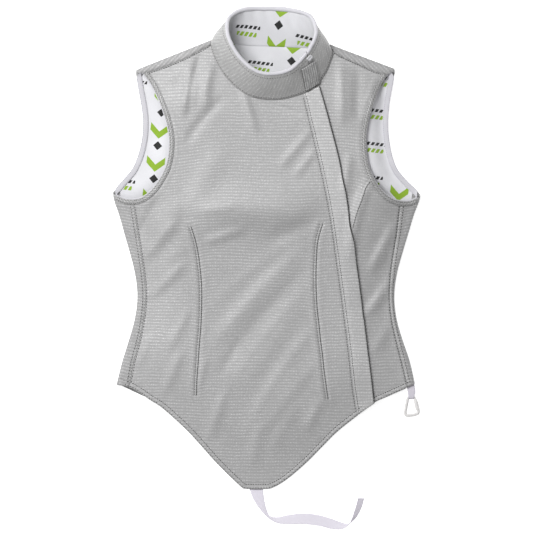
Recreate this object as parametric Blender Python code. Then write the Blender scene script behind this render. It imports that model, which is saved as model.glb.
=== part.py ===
"""Foil lame laid flat on its back: a sleeveless metallic fencing vest, as cloth walls over a table at z = 0.

+X is to the right of the laid garment (the wearer's left), +Y runs to its neck and +Z is up.
The drawing is in millimetres and is scaled to metres when a mesh is made. The origin is the
middle of the footprint. Every cloth piece is a middle surface thickened by its wall.
"""

from functools import lru_cache
from typing import NamedTuple

import bmesh
import bpy
import numpy as np
from mathutils import Vector
from mathutils.geometry import delaunay_2d_cdt

MM = 0.001

# Walls and gaps.
SHELL_WALL = 1.2
LINING_WALL = 1.0
FLAP_WALL = 1.6
LAYER_GAP = 0.3
DRAPE_GAP = 0.6
SEAM_GAP = 0.35

# The fold where the back panel turns over onto the front.
FOLD_TOP = 7.5
FOLD_RADIUS = (FOLD_TOP - SHELL_WALL / 2) / 2
FOLD_ARC = np.pi * FOLD_RADIUS
SIDE_REACH = 45.0
SHOULDER_REACH = 40.0
HEM_REACH = 55.0

# Collar, trims and findings.
COLLAR_STEPS = 40
COLLAR_ROWS = 4
COLLAR_WALL_TOP = 0.945
CLOSURE_HALF = 0.0016
BINDING_RADIUS = 2.4
BAND_WIDTH = 7.0
FACING_WIDTH = 8.0
FACING_SHOW = 1.4
ZIP_SET_IN = 9.0
ZIP_HALF_GAP = 2.6
TAPE_HALF = 10.0
COIL_WIDTH = 4.0
COIL_WALL = 1.4
SLIDER_WALL = 2.4
STRAP_WALL = 1.0
STRAP_WIDTH = 20.0
LOOP_FOLD_WIDTH = 7.2
LOOP_WALL = 1.0
HOOK_WIRE = 1.9
BAR_WIRE = 1.5
GATE_WIRE = 2.3


class Section(NamedTuple):
    """One height of the body: its outline and the seams that join front and back."""

    y: float
    left_edge: float
    left_seam: float
    right_seam: float
    right_edge: float


BODY = (
    Section(-340.0, -250.0, -230.0, 236.0, 246.0),
    Section(-215.0, -233.0, -213.0, 220.0, 231.0),
    Section(-173.7, -224.3, -204.8, 211.0, 222.0),
    Section(-137.7, -215.3, -198.0, 202.5, 213.8),
    Section(-107.7, -206.0, -190.0, 194.8, 203.6),
    Section(-77.7, -197.6, -184.2, 188.3, 195.0),
    Section(-44.7, -193.4, -181.0, 185.0, 191.2),
    Section(-10.2, -196.5, -183.2, 186.5, 194.8),
    Section(19.9, -203.7, -187.5, 190.4, 202.6),
    Section(49.9, -212.3, -192.2, 195.3, 211.6),
    Section(79.9, -220.7, -196.8, 198.9, 220.6),
    Section(106.9, -229.4, -200.6, 201.6, 230.0),
    Section(150.0, -226.0, -199.0, 200.0, 226.0),
    Section(225.0, -211.0, -185.0, 185.0, 210.0),
    Section(297.0, -196.0, -170.0, 170.0, 194.0),
    Section(360.0, -188.0, -160.0, 160.0, 186.0),
)


class Loft(NamedTuple):
    """One height of the front: how high its edges lie and how far its middle is puffed up."""

    y: float
    edge: float
    rise: float


LOFT = (
    Loft(-340.0, 2.2, 0.0),
    Loft(-300.0, 2.8, 3.0),
    Loft(-255.0, 4.6, 6.0),
    Loft(-215.0, 6.4, 8.0),
    Loft(-174.0, 7.5, 9.5),
    Loft(-110.0, 7.5, 11.0),
    Loft(-45.0, 7.5, 12.5),
    Loft(10.0, 7.5, 15.5),
    Loft(70.0, 7.5, 20.0),
    Loft(120.0, 7.5, 20.0),
    Loft(190.0, 7.5, 17.0),
    Loft(250.0, 7.5, 15.5),
    Loft(300.0, 7.5, 12.0),
    Loft(360.0, 7.5, 8.0),
)


class Fold(NamedTuple):
    """A soft ridge of the front from one end to the other."""

    x: float
    y: float
    to_x: float
    to_y: float
    half_width: float
    height: float


FOLDS = (
    Fold(66.0, 34.0, -92.0, -128.0, 15.0, 2.0),
    Fold(70.0, -28.0, -56.0, -200.0, 14.0, 1.8),
    Fold(60.0, -128.0, -22.0, -262.0, 14.0, 1.6),
    Fold(-122.0, 108.0, -176.0, 40.0, 13.0, 1.8),
    Fold(-116.0, 42.0, -176.0, -22.0, 13.0, 1.4),
    Fold(-104.0, 300.0, -124.0, 232.0, 12.0, 1.8),
    Fold(126.0, 300.0, 122.0, 216.0, 12.0, 1.6),
)


class Point(NamedTuple):
    """A point of an outline, seen from above."""

    x: float
    y: float


LEFT_SHOULDER_TIP = Point(-194.3, 297.4)
LEFT_NECK_POINT = Point(-81.8, 342.4)
RIGHT_SHOULDER_TIP = Point(192.0, 298.9)
RIGHT_NECK_POINT = Point(92.3, 336.4)

# Each armhole, on the front from the shoulder fold to the pit's fold, then up the back.
LEFT_ARMHOLE_TIP = (Point(-192.6, 293.4), Point(-188.6, 293.4), Point(-183.8, 291.4))
LEFT_ARMHOLE_FRONT = (
    Point(-183.8, 291.4),
    Point(-171.0, 273.0),
    Point(-157.5, 243.0),
    Point(-148.5, 214.0),
    Point(-145.5, 187.0),
    Point(-149.5, 157.0),
    Point(-160.5, 133.0),
    Point(-174.5, 115.0),
    Point(-188.0, 105.5),
    Point(-200.2, 102.9),
)
LEFT_ARMHOLE_PIT = (Point(-200.2, 102.9), Point(-212.0, 104.3), Point(-225.6, 109.3))
LEFT_ARMHOLE_BACK = (
    Point(-225.6, 112.0),
    Point(-218.0, 126.5),
    Point(-203.3, 146.5),
    Point(-194.0, 165.5),
    Point(-187.5, 190.0),
    Point(-185.2, 215.0),
    Point(-187.2, 240.0),
    Point(-190.5, 265.0),
    Point(-193.4, 292.0),
)
RIGHT_ARMHOLE_TIP = (Point(190.4, 294.6), Point(186.0, 293.6), Point(180.0, 289.3))
RIGHT_ARMHOLE_FRONT = (
    Point(180.0, 289.3),
    Point(170.0, 273.0),
    Point(159.5, 246.0),
    Point(151.5, 215.0),
    Point(149.3, 189.0),
    Point(152.3, 158.0),
    Point(162.8, 131.0),
    Point(176.5, 113.0),
    Point(190.0, 103.8),
    Point(201.3, 100.6),
)
RIGHT_ARMHOLE_PIT = (Point(201.3, 100.6), Point(213.0, 101.0), Point(226.2, 105.6))
RIGHT_ARMHOLE_BACK = (
    Point(226.2, 110.0),
    Point(219.8, 119.8),
    Point(210.8, 129.5),
    Point(197.0, 147.5),
    Point(189.3, 166.0),
    Point(184.2, 190.0),
    Point(182.3, 218.0),
    Point(184.6, 248.0),
    Point(188.0, 272.0),
    Point(191.0, 293.0),
)

LEFT_SHOULDER_SEAM = (
    Point(-183.8, 291.4),
    Point(-167.0, 296.8),
    Point(-145.0, 304.8),
    Point(-122.0, 314.6),
    Point(-100.0, 325.8),
    Point(-83.6, 334.8),
)
RIGHT_SHOULDER_SEAM = (
    Point(180.0, 289.3),
    Point(161.0, 295.6),
    Point(141.0, 304.8),
    Point(125.3, 311.8),
    Point(108.0, 320.0),
    Point(98.0, 326.2),
)

# Hem of the front, from the left side fold round the point to the right side fold.
HEM = (
    Point(-226.0, -172.8),
    Point(-207.0, -177.5),
    Point(-189.8, -187.2),
    Point(-174.8, -197.6),
    Point(-155.3, -210.5),
    Point(-116.3, -246.5),
    Point(-74.3, -293.0),
    Point(-39.8, -326.6),
    Point(-33.8, -330.6),
    Point(-5.0, -331.2),
    Point(8.3, -329.6),
    Point(29.3, -317.6),
    Point(57.8, -293.6),
    Point(81.8, -269.6),
    Point(105.8, -245.6),
    Point(135.8, -221.6),
    Point(160.5, -202.4),
    Point(185.3, -190.9),
    Point(210.8, -179.6),
    Point(224.0, -173.2),
)
BACK_HEM_DROP = 58.0


class FlapRow(NamedTuple):
    """One height of the placket: its stitched edge and its free edge."""

    y: float
    sewn: float
    free: float


PLACKET = (
    FlapRow(-222.0, 137.2, 163.5),
    FlapRow(-186.0, 131.4, 159.0),
    FlapRow(-126.0, 124.6, 151.6),
    FlapRow(-55.0, 115.6, 142.6),
    FlapRow(5.0, 107.4, 134.6),
    FlapRow(87.0, 95.4, 122.8),
    FlapRow(147.0, 83.4, 112.4),
    FlapRow(210.0, 68.4, 96.8),
    FlapRow(260.0, 56.4, 82.8),
    FlapRow(285.0, 49.0, 75.0),
)


class CollarStation(NamedTuple):
    """One rib of the standing collar: its foot, how far the foot sits up on the front, and its top."""

    foot_x: float
    foot_y: float
    seat: float
    top_x: float
    top_y: float
    top_z: float


# From the closure over the zip round the front, the left side, the back and the right side.
COLLAR = (
    CollarStation(70.5, 270.6, 1.0, 60.5, 322.0, 55.5),
    CollarStation(44.3, 259.0, 1.0, 35.3, 297.5, 59.0),
    CollarStation(12.8, 253.3, 1.0, 3.8, 291.2, 60.0),
    CollarStation(-24.8, 258.8, 1.0, -18.8, 297.2, 60.0),
    CollarStation(-51.8, 277.8, 1.0, -39.8, 315.4, 58.0),
    CollarStation(-71.5, 303.4, 1.0, -54.0, 337.8, 54.0),
    CollarStation(-80.2, 333.0, 0.55, -59.6, 357.0, 47.0),
    CollarStation(-66.8, 338.6, 0.0, -53.8, 374.6, 34.0),
    CollarStation(-36.0, 337.8, 0.0, -33.0, 386.6, 18.0),
    CollarStation(0.0, 338.2, 0.0, 1.5, 389.6, 11.0),
    CollarStation(36.0, 335.2, 0.0, 38.0, 387.0, 14.0),
    CollarStation(70.0, 329.6, 0.0, 63.5, 376.8, 25.0),
    CollarStation(94.6, 324.0, 0.85, 75.0, 357.6, 42.0),
    CollarStation(94.5, 307.6, 1.0, 72.2, 342.2, 49.0),
    CollarStation(87.0, 290.4, 1.0, 66.9, 332.0, 52.0),
)
BACK_SEAT = 1.3
TAB = (Point(51.0, 299.4), Point(58.4, 267.4), Point(78.4, 279.2), Point(71.4, 312.4))
SLIDER = (Point(58.6, 315.0), Point(62.6, 310.6), Point(68.6, 317.2), Point(64.6, 321.6))


class StrapStation(NamedTuple):
    """One station of the elastic strap: its outer edge on the table and its inner edge."""

    outer_x: float
    outer_y: float
    inner_x: float
    inner_y: float


STRAP = (
    StrapStation(-27.5, -314.0, -7.5, -314.0),
    StrapStation(-25.4, -331.5, -5.4, -331.5),
    StrapStation(-20.6, -345.0, -3.4, -346.5),
    StrapStation(-13.0, -357.6, -0.6, -359.4),
    StrapStation(-3.4, -369.0, 3.4, -369.6),
    StrapStation(6.0, -377.0, 7.4, -372.4),
    StrapStation(17.0, -382.4, 16.6, -373.2),
    StrapStation(35.0, -383.8, 34.8, -369.6),
    StrapStation(58.0, -383.8, 56.6, -367.6),
    StrapStation(80.0, -386.6, 78.8, -370.2),
    StrapStation(98.0, -391.0, 98.8, -376.0),
    StrapStation(113.0, -391.2, 113.2, -381.2),
    StrapStation(122.6, -385.0, 123.4, -382.4),
    StrapStation(128.2, -374.4, 134.2, -374.0),
    StrapStation(133.0, -359.6, 142.4, -359.0),
    StrapStation(137.2, -344.6, 146.6, -344.8),
)
STRAP_REST = 0.5

HOOK_PIVOT = Point(217.0, -193.4)
HOOK_PIVOT_Z = 3.1
HOOK_BAR_HALF = 5.5


class LoopRow(NamedTuple):
    """One height of the hook's elastic loop: its two sides, and how far its layers lie from the bar."""

    y: float
    left: float
    right: float
    under: float
    over: float


LOOP = (
    LoopRow(-163.0, 205.5, 213.0, 0.15, 1.4),
    LoopRow(-178.0, 208.5, 216.6, -0.6, 1.4),
    LoopRow(-186.0, 212.2, 221.2, -1.6, 2.0),
)


def column(table, name, at):
    """Read one column of a table at any height, by a smooth curve through its rows."""
    keys = np.array([row.y for row in table])
    values = np.array([getattr(row, name) for row in table])
    slopes = np.gradient(values, keys)
    at = np.clip(np.asarray(at, float), keys[0], keys[-1])
    row = np.clip(np.searchsorted(keys, at) - 1, 0, len(keys) - 2)
    span = keys[row + 1] - keys[row]
    t = (at - keys[row]) / span
    start = values[row] * (1 + 2 * t) + slopes[row] * span * t
    end = values[row + 1] * (3 - 2 * t) - slopes[row + 1] * span * (1 - t)
    return start * (1 - t) ** 2 + end * t**2


def smooth_path(points, spacing):
    """Points about a spacing apart on a Catmull-Rom curve through the given ones."""
    given = np.array(points, float)
    padded = np.vstack([2 * given[0] - given[1], given, 2 * given[-1] - given[-2]])
    fine = []
    for before, start, end, after in zip(padded, padded[1:], padded[2:], padded[3:]):
        for t in np.linspace(0, 1, 12, endpoint=False):
            straight = 2 * start + (end - before) * t
            bend = (2 * before - 5 * start + 4 * end - after) * t**2
            twist = (3 * start - before - 3 * end + after) * t**3
            fine.append((straight + bend + twist) / 2)
    fine.append(padded[-2])
    return resampled(np.array(fine), spacing)


def resampled(path, spacing):
    """The same polyline with its points evenly spread, about a spacing apart."""
    steps = np.linalg.norm(np.diff(path, axis=0), axis=1)
    run = np.concatenate([[0], np.cumsum(steps)])
    stops = np.linspace(0, run[-1], max(2, round(run[-1] / spacing) + 1))
    return np.column_stack([np.interp(stops, run, path[:, axis]) for axis in range(path.shape[1])])


def swell(distance, reach):
    """0 at an edge, rising softly to 1 beyond its reach."""
    return 1 - np.exp(-((np.maximum(distance, 0) / reach) ** 2))


def fold_line(x):
    """Height on the drawing where both shoulders are folded."""
    left_slope = (LEFT_NECK_POINT.y - LEFT_SHOULDER_TIP.y) / (LEFT_NECK_POINT.x - LEFT_SHOULDER_TIP.x)
    right_slope = (RIGHT_NECK_POINT.y - RIGHT_SHOULDER_TIP.y) / (RIGHT_NECK_POINT.x - RIGHT_SHOULDER_TIP.x)
    left = LEFT_SHOULDER_TIP.y + left_slope * (x - LEFT_SHOULDER_TIP.x)
    right = RIGHT_SHOULDER_TIP.y + right_slope * (x - RIGHT_SHOULDER_TIP.x)
    return np.minimum(left, right)


@lru_cache
def hem_path():
    """The front's hem as closely spaced points."""
    return smooth_path(HEM, 4.0)


def hem_line(x):
    """Height on the drawing of the front's hem."""
    return np.interp(x, hem_path()[:, 0], hem_path()[:, 1])


def ridge(fold, x, y):
    """Height that one fold adds to the front."""
    start = np.array([fold.x, fold.y])
    along = np.array([fold.to_x, fold.to_y]) - start
    length = np.linalg.norm(along)
    along = along / length
    run = (x - start[0]) * along[0] + (y - start[1]) * along[1]
    aside = (y - start[1]) * along[0] - (x - start[0]) * along[1]
    ends = swell(run, length / 3) * swell(length - run, length / 3)
    return fold.height * np.exp(-((aside / fold.half_width) ** 2)) * ends


def front_height(x, y):
    """Height of the front's middle surface, puffed up from the folds and hem round it."""
    x = np.asarray(x, float)
    y = np.asarray(y, float)
    from_side = np.minimum(x - column(BODY, "left_edge", y), column(BODY, "right_edge", y) - x)
    puff = swell(from_side, SIDE_REACH) * swell(fold_line(x) - y, SHOULDER_REACH)
    puff = puff * (0.25 + 0.75 * swell(y - hem_line(x), HEM_REACH))
    folds = sum(ridge(fold, x, y) for fold in FOLDS)
    return column(LOFT, "edge", y) + column(LOFT, "rise", y) * puff + folds


def on_front(points, offset=0.0):
    """Points over the drawing lifted onto the front, an offset along its normal."""
    points = np.asarray(points, float)
    x = points[:, 0]
    y = points[:, 1]
    step = 1.0
    slope_x = (front_height(x + step, y) - front_height(x - step, y)) / (2 * step)
    slope_y = (front_height(x, y + step) - front_height(x, y - step)) / (2 * step)
    normal = np.column_stack([-slope_x, -slope_y, np.ones(len(x))])
    normal = normal / np.linalg.norm(normal, axis=1)[:, None]
    return np.column_stack([x, y, front_height(x, y)]) + offset * normal


def side_fold(y, side):
    """X of the line where the back panel starts to turn over, on one side."""
    if side < 0:
        return column(BODY, "left_edge", y) + FOLD_RADIUS
    return column(BODY, "right_edge", y) - FOLD_RADIUS


def shoulder_fold(x):
    """Y of the line where the back panel starts to turn over at the shoulders."""
    return fold_line(x) - FOLD_RADIUS


def unfold_side(points, side):
    """Where points of the turned-over side lie on the back's flat pattern."""
    points = np.array(points, float)
    fold = side_fold(points[:, 1], side)
    points[:, 0] = fold + side * FOLD_ARC + (fold - points[:, 0])
    return points


def unfold_shoulder(points):
    """Where points of the turned-over shoulder lie on the back's flat pattern."""
    points = np.array(points, float)
    fold = shoulder_fold(points[:, 0])
    points[:, 1] = fold + FOLD_ARC + (fold - points[:, 1])
    return points


def turned(distance):
    """How far out, and how high, a point lies once cloth past a fold is turned over."""
    turn = np.clip(distance, 0, FOLD_ARC) / FOLD_RADIUS
    out = FOLD_RADIUS * np.sin(turn) - np.maximum(distance - FOLD_ARC, 0)
    return out, FOLD_RADIUS * (1 - np.cos(turn))


def fold_back(points):
    """The back's flat pattern folded into place round both sides and over both shoulders."""
    placed = np.column_stack([points, np.full(len(points), SHELL_WALL / 2)])
    for side in (-1, 1):
        past = side * (points[:, 0] - side_fold(points[:, 1], side))
        past = np.where(points[:, 1] < LEFT_SHOULDER_TIP.y - 60, past, -1.0)
        out, up = turned(past)
        moved = past > 0
        placed[moved, 0] = (side_fold(points[:, 1], side) + side * out)[moved]
        placed[moved, 2] += up[moved]
    past = points[:, 1] - shoulder_fold(points[:, 0])
    in_neck = (points[:, 0] > LEFT_NECK_POINT.x + 4) & (points[:, 0] < RIGHT_NECK_POINT.x - 4)
    past = np.where(in_neck, -1.0, past)
    out, up = turned(past)
    moved = past > 0
    placed[moved, 1] = (shoulder_fold(points[:, 0]) + out)[moved]
    placed[moved, 2] += up[moved]
    over = placed[:, 2] > FOLD_TOP - 0.01
    placed[over, 2] = front_height(placed[over, 0], placed[over, 1])
    return placed


def inside(points, outline):
    """Which points lie inside an outline."""
    x, y = points[:, 0], points[:, 1]
    hit = np.zeros(len(points), bool)
    for (x0, y0), (x1, y1) in zip(outline, np.roll(outline, -1, axis=0)):
        if y0 == y1:
            continue
        crosses = (y0 > y) != (y1 > y)
        hit ^= crosses & (x < x0 + (y - y0) * (x1 - x0) / (y1 - y0))
    return hit


def meshed(outline, spacing, rows=()):
    """A flat mesh of an outline: its points, rows of joined points and a grid of triangles between."""
    outline = np.asarray(outline, float)
    low = outline.min(axis=0)
    high = outline.max(axis=0)
    edges = [(index, (index + 1) % len(outline)) for index in range(len(outline))]
    grid = []
    for index, y in enumerate(np.arange(low[1] + spacing / 2, high[1], spacing * 0.87)):
        for x in np.arange(low[0] + spacing / 4 + spacing / 2 * (index % 2), high[0], spacing):
            grid.append((x, y))
    kept = outline
    for row in rows:
        row = np.asarray(row, float)
        row = row[inside(row, outline)]
        row = row[np.linalg.norm(row[:, None] - outline[None], axis=2).min(axis=1) > 1.2]
        edges += [(len(kept) + index, len(kept) + index + 1) for index in range(len(row) - 1)]
        kept = np.vstack([kept, row])
    grid = np.array(grid)
    grid = grid[inside(grid, outline)]
    far = np.linalg.norm(grid[:, None] - kept[None], axis=2).min(axis=1) > 0.6 * spacing
    flat = np.vstack([kept, grid[far]])
    made = delaunay_2d_cdt([Vector(point) for point in flat], edges, [], 1, 1e-5)
    return np.array([tuple(point) for point in made[0]]), [tuple(face) for face in made[2]]


def material(name, color, roughness, metallic=0.0):
    """A plain surface finish."""
    made = bpy.data.materials.new(name)
    made.use_nodes = True
    shader = made.node_tree.nodes["Principled BSDF"]
    shader.inputs["Base Color"].default_value = (*color, 1.0)
    shader.inputs["Roughness"].default_value = roughness
    shader.inputs["Metallic"].default_value = metallic
    made.diffuse_color = (*color, 1.0)
    return made


def add_object(name, points, faces, finish, origin=(0.0, 0.0, 0.0)):
    """Make a mesh object from points in millimetres, with its faces turned one way."""
    mesh = bpy.data.meshes.new(name)
    shape = bmesh.new()
    corners = [shape.verts.new((np.asarray(point, float) - origin) * MM) for point in points]
    for face in faces:
        shape.faces.new([corners[index] for index in face])
    bmesh.ops.recalc_face_normals(shape, faces=shape.faces)
    shape.to_mesh(mesh)
    shape.free()
    mesh.materials.append(finish)
    mesh.shade_smooth()
    made = bpy.data.objects.new(name, mesh)
    made.location = np.asarray(origin, float) * MM
    bpy.context.scene.collection.objects.link(made)
    return made


def cloth(name, points, faces, wall, finish):
    """A cloth piece: its middle surface thickened by its wall."""
    made = add_object(name, points, faces, finish)
    shell = made.modifiers.new("Wall", "SOLIDIFY")
    shell.thickness = wall * MM
    shell.offset = 0.0
    return made


def strip(name, one_side, other_side, wall, finish, closed=False, across=1):
    """A ribbon between two edges of equally many points."""
    one_side = np.asarray(one_side, float)
    other_side = np.asarray(other_side, float)
    shares = np.linspace(0, 1, across + 1)
    lines = [one_side * (1 - share) + other_side * share for share in shares]
    return lattice(name, lines, wall, finish, closed)


def lattice(name, lines, wall, finish, closed=False):
    """A cloth piece through lines of equally many points."""
    count = len(lines[0])
    points = np.vstack(lines)
    faces = []
    for line in range(len(lines) - 1):
        for index in range(count if closed else count - 1):
            following = (index + 1) % count
            here = line * count
            there = here + count
            faces.append((here + index, here + following, there + following, there + index))
    return cloth(name, points, faces, wall, finish)


def tube(name, path, radii, finish, origin=(0.0, 0.0, 0.0), sides=10, closed=False):
    """A round bar along a path, with its own radius at each point."""
    path = np.asarray(path, float)
    ahead = np.roll(path, -1, axis=0) - np.roll(path, 1, axis=0)
    if not closed:
        ahead[0] = path[1] - path[0]
        ahead[-1] = path[-1] - path[-2]
    points = []
    for place, heading, radius in zip(path, ahead, radii):
        heading = heading / np.linalg.norm(heading)
        out = np.cross(heading, (0, 0, 1))
        out = out / np.linalg.norm(out)
        up = np.cross(out, heading)
        for angle in np.linspace(0, 2 * np.pi, sides, endpoint=False):
            points.append(place + radius * (np.cos(angle) * out + np.sin(angle) * up))
    faces = []
    for ring in range(len(path) if closed else len(path) - 1):
        here = ring * sides
        there = (ring + 1) % len(path) * sides
        for side in range(sides):
            following = (side + 1) % sides
            faces.append((here + side, here + following, there + following, there + side))
    if not closed:
        faces.append(tuple(range(sides)))
        faces.append(tuple(range(len(points) - sides, len(points))))
    return add_object(name, points, faces, finish, origin)


def along_body(name, from_y, to_y, spacing=12.0):
    """A seam or edge of the body from one height to another, as points."""
    count = max(2, round(abs(to_y - from_y) / spacing) + 1)
    heights = np.linspace(from_y, to_y, count)
    return np.column_stack([column(BODY, name, heights), heights])


def zip_line(from_y, to_y, aside):
    """A line of the zip's own run under the placket, so far to one side of its middle."""
    count = max(2, round(abs(to_y - from_y) / 14) + 1)
    heights = np.linspace(from_y, to_y, count)
    return np.column_stack([column(PLACKET, "free", heights) - ZIP_SET_IN + aside, heights])


def hem_between(from_x, to_x):
    """The front's hem from one X to another."""
    path = smooth_path(HEM, 13.0)
    low, high = sorted((from_x, to_x))
    middle = path[(path[:, 0] > low + 3) & (path[:, 0] < high - 3)]
    ends = np.array([(low, hem_line(low)), (high, hem_line(high))])
    path = np.vstack([ends[:1], middle, ends[1:]])
    return path if from_x < to_x else path[::-1]


@lru_cache
def collar_rings():
    """The collar's foot and its top, as rings of points."""
    foot = np.array([(row.foot_x, row.foot_y, row.seat) for row in COLLAR])
    height = on_front(foot[:, :2], SHELL_WALL + LAYER_GAP + 0.2)[:, 2]
    foot[:, 2] = BACK_SEAT + foot[:, 2] * (height - BACK_SEAT)
    return foot, np.array([(row.top_x, row.top_y, row.top_z) for row in COLLAR])


def collar_points(turn, rise, offset=0.0):
    """Points of the collar: `turn` round from its closure, 0 to 1, and `rise` from foot to top."""
    foot_ring, top_ring = collar_rings()
    foot = around(foot_ring, turn)
    top = around(top_ring, turn)
    here = foot * (1 - rise) + top * rise
    ring = foot_ring * (1 - rise) + top_ring * rise
    ahead = around(ring, turn + 0.004) - around(ring, turn - 0.004)
    out = np.cross(top - foot, ahead)
    out = out / np.linalg.norm(out, axis=1)[:, None]
    return here + offset * out


def around(ring, turn):
    """Points of a smooth closed curve through a ring of points, at shares of a whole turn."""
    count = len(ring)
    place = np.mod(turn, 1.0) * count
    index = np.floor(place).astype(int) % count
    t = (place - np.floor(place))[:, None]
    before, start, end, after = (ring[(index + step) % count] for step in (-1, 0, 1, 2))
    bend = (2 * before - 5 * start + 4 * end - after) * t**2
    twist = (3 * start - before - 3 * end + after) * t**3
    return (2 * start + (end - before) * t + bend + twist) / 2


def on_collar(point, offset):
    """The point of the collar's outside over a point of the drawing."""
    turn, rise = 0.0, 0.5
    step = 0.002
    for _ in range(12):
        here = collar_points(np.array([turn]), rise)[0]
        by_turn = (collar_points(np.array([turn + step]), rise)[0] - here)[:2] / step
        by_rise = (collar_points(np.array([turn]), rise + step)[0] - here)[:2] / step
        change = np.linalg.solve(np.column_stack([by_turn, by_rise]), np.array(point) - here[:2])
        turn += float(np.clip(change[0], -0.05, 0.05))
        rise += float(np.clip(change[1], -0.3, 0.3))
    return collar_points(np.array([turn]), rise, offset)[0]


def neck_edge(from_turn, to_turn, outwards):
    """The cut edge of the body under the collar's foot, seen from above."""
    foot = np.array([(row.foot_x, row.foot_y) for row in COLLAR])
    turns = np.linspace(from_turn, to_turn, max(3, round(abs(to_turn - from_turn) * COLLAR_STEPS) + 1))
    path = around(foot, turns)
    ahead = around(foot, turns + 0.004) - path
    ahead = ahead / np.linalg.norm(ahead, axis=1)[:, None]
    return path + outwards * np.column_stack([ahead[:, 1], -ahead[:, 0]])


def across(start, end):
    """Points that carry an outline over a fold, between a point on each side of it."""
    return np.linspace(start, end, 6)[1:-1]


def add_back_panel(finish):
    """The back, cut in one with the strips that turn over the sides and shoulders."""
    hem_y = BODY[2].y
    low = np.array([(x, back_hem(x)) for x in np.linspace(side_fold(hem_y, -1), side_fold(hem_y, 1), 15)])
    left_strip = unfold_side(along_body("left_seam", -177.5, 103.0) - (SEAM_GAP, 0), -1)
    left_pit = unfold_side(smooth_path(LEFT_ARMHOLE_PIT, 9.0), -1)[1:]
    left_back = smooth_path(LEFT_ARMHOLE_BACK, 13.0)
    left_tip = unfold_shoulder(LEFT_ARMHOLE_TIP[:-1])
    left_shoulder = unfold_shoulder(smooth_path(LEFT_SHOULDER_SEAM, 14.0) + (0, SEAM_GAP + 0.1))
    neck = np.array([(-79.5, 337.2), (-40.0, 336.4), (0.0, 336.8), (38.0, 333.6), (72.0, 328.0), (91.5, 325.0)])
    right_shoulder = unfold_shoulder(smooth_path(RIGHT_SHOULDER_SEAM, 14.0) + (0, SEAM_GAP + 0.1))
    right_tip = unfold_shoulder(RIGHT_ARMHOLE_TIP[:-1])
    right_back = smooth_path(RIGHT_ARMHOLE_BACK, 13.0)
    right_pit = unfold_side(smooth_path(RIGHT_ARMHOLE_PIT, 9.0), 1)[1:]
    right_strip = unfold_side(along_body("right_seam", -177.5, 101.0) + (SEAM_GAP, 0), 1)
    outline = np.vstack([
        left_strip,
        left_pit,
        across(left_pit[-1], left_back[0]),
        left_back,
        across(left_back[-1], left_tip[0]),
        left_tip,
        left_shoulder,
        across(left_shoulder[-1], neck[0]),
        neck,
        across(neck[-1], right_shoulder[-1]),
        right_shoulder[::-1],
        right_tip[::-1],
        across(right_tip[0], right_back[-1]),
        right_back[::-1],
        across(right_back[0], right_pit[-1]),
        right_pit[::-1],
        right_strip[::-1],
        across(right_strip[0], low[-1]),
        low[::-1],
        across(low[0], left_strip[0]),
    ])
    rows = []
    for share in (0.0, 0.2, 0.4, 0.6, 0.8, 1.0):
        for side in (-1, 1):
            heights = np.linspace(-170.0, 106.0, 19)
            rows.append(np.column_stack([side_fold(heights, side) + side * share * FOLD_ARC, heights]))
        for start, end in ((-190.0, -85.0), (97.0, 187.0)):
            x = np.linspace(start, end, 8)
            rows.append(np.column_stack([x, shoulder_fold(x) + share * FOLD_ARC]))
    flat, faces = meshed(outline, 32.0, rows)
    return cloth("back_panel", fold_back(flat), faces, SHELL_WALL, finish)


def back_hem(x):
    """Height on the drawing of the back's own hem, which the front hides."""
    half = BODY[2].right_edge
    return BODY[2].y - BACK_HEM_DROP * (1 - (np.abs(x) / half) ** 2)


def add_back_lining(finish):
    """The white lining over the inside of the back, seen through the neck and the armholes."""
    inner_left = along_body("left_edge", -168.0, 104.0, 30.0) + (FOLD_RADIUS + 3, 0)
    inner_right = along_body("right_edge", 102.0, -168.0, 30.0) - (FOLD_RADIUS + 3, 0)
    left_back = smooth_path(LEFT_ARMHOLE_BACK[:-1], 16.0) + (1.5, 0)
    right_back = smooth_path(RIGHT_ARMHOLE_BACK[:-1], 16.0)[::-1] - (1.5, 0)
    shoulder_x = np.array([-185.0, -150.0, -115.0, -84.0])
    left_shoulder = np.column_stack([shoulder_x, shoulder_fold(shoulder_x) - 3.0])
    shoulder_x = np.array([95.0, 125.0, 155.0, 184.0])
    right_shoulder = np.column_stack([shoulder_x, shoulder_fold(shoulder_x) - 3.0])
    neck = np.array([(-76.0, 335.8), (-40.0, 336.4), (0.0, 336.8), (38.0, 333.6), (72.0, 327.8), (88.0, 323.8)])
    low = np.array([(x, back_hem(x) + 6.0) for x in np.linspace(-205.0, 205.0, 9)])
    outline = np.vstack([
        inner_left[1:-1],
        left_back,
        left_shoulder,
        neck,
        right_shoulder,
        right_back,
        inner_right[1:-1],
        low[::-1],
    ])
    flat, faces = meshed(outline, 60.0)
    height = SHELL_WALL + LAYER_GAP + LINING_WALL / 2
    points = np.column_stack([flat, np.full(len(flat), height)])
    return cloth("back_lining", points, faces, LINING_WALL, finish)


def add_front_right_panel(finish):
    """The large front of the wearer's right side, from its side seam to the zip."""
    bottom = hem_between(side_seam_at(-178.5, "left_seam"), zip_at(-212.0) - ZIP_HALF_GAP)
    zip_edge = zip_line(-198.0, 262.0, -ZIP_HALF_GAP)
    neck = neck_edge(0.004, 0.408, -1.5)
    shoulder = smooth_path(LEFT_SHOULDER_SEAM, 14.0)[::-1] - (0, SEAM_GAP + 0.1)
    armhole = smooth_path(LEFT_ARMHOLE_FRONT, 13.0)
    seam = along_body("left_seam", 103.0, -179.0) + (SEAM_GAP, 0)
    outline = np.vstack([bottom[1:], zip_edge[1:], neck, shoulder[1:], armhole[1:-1], seam])
    flat, faces = meshed(outline, 19.0)
    return cloth("front_right_panel", on_front(flat), faces, SHELL_WALL, finish)


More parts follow.
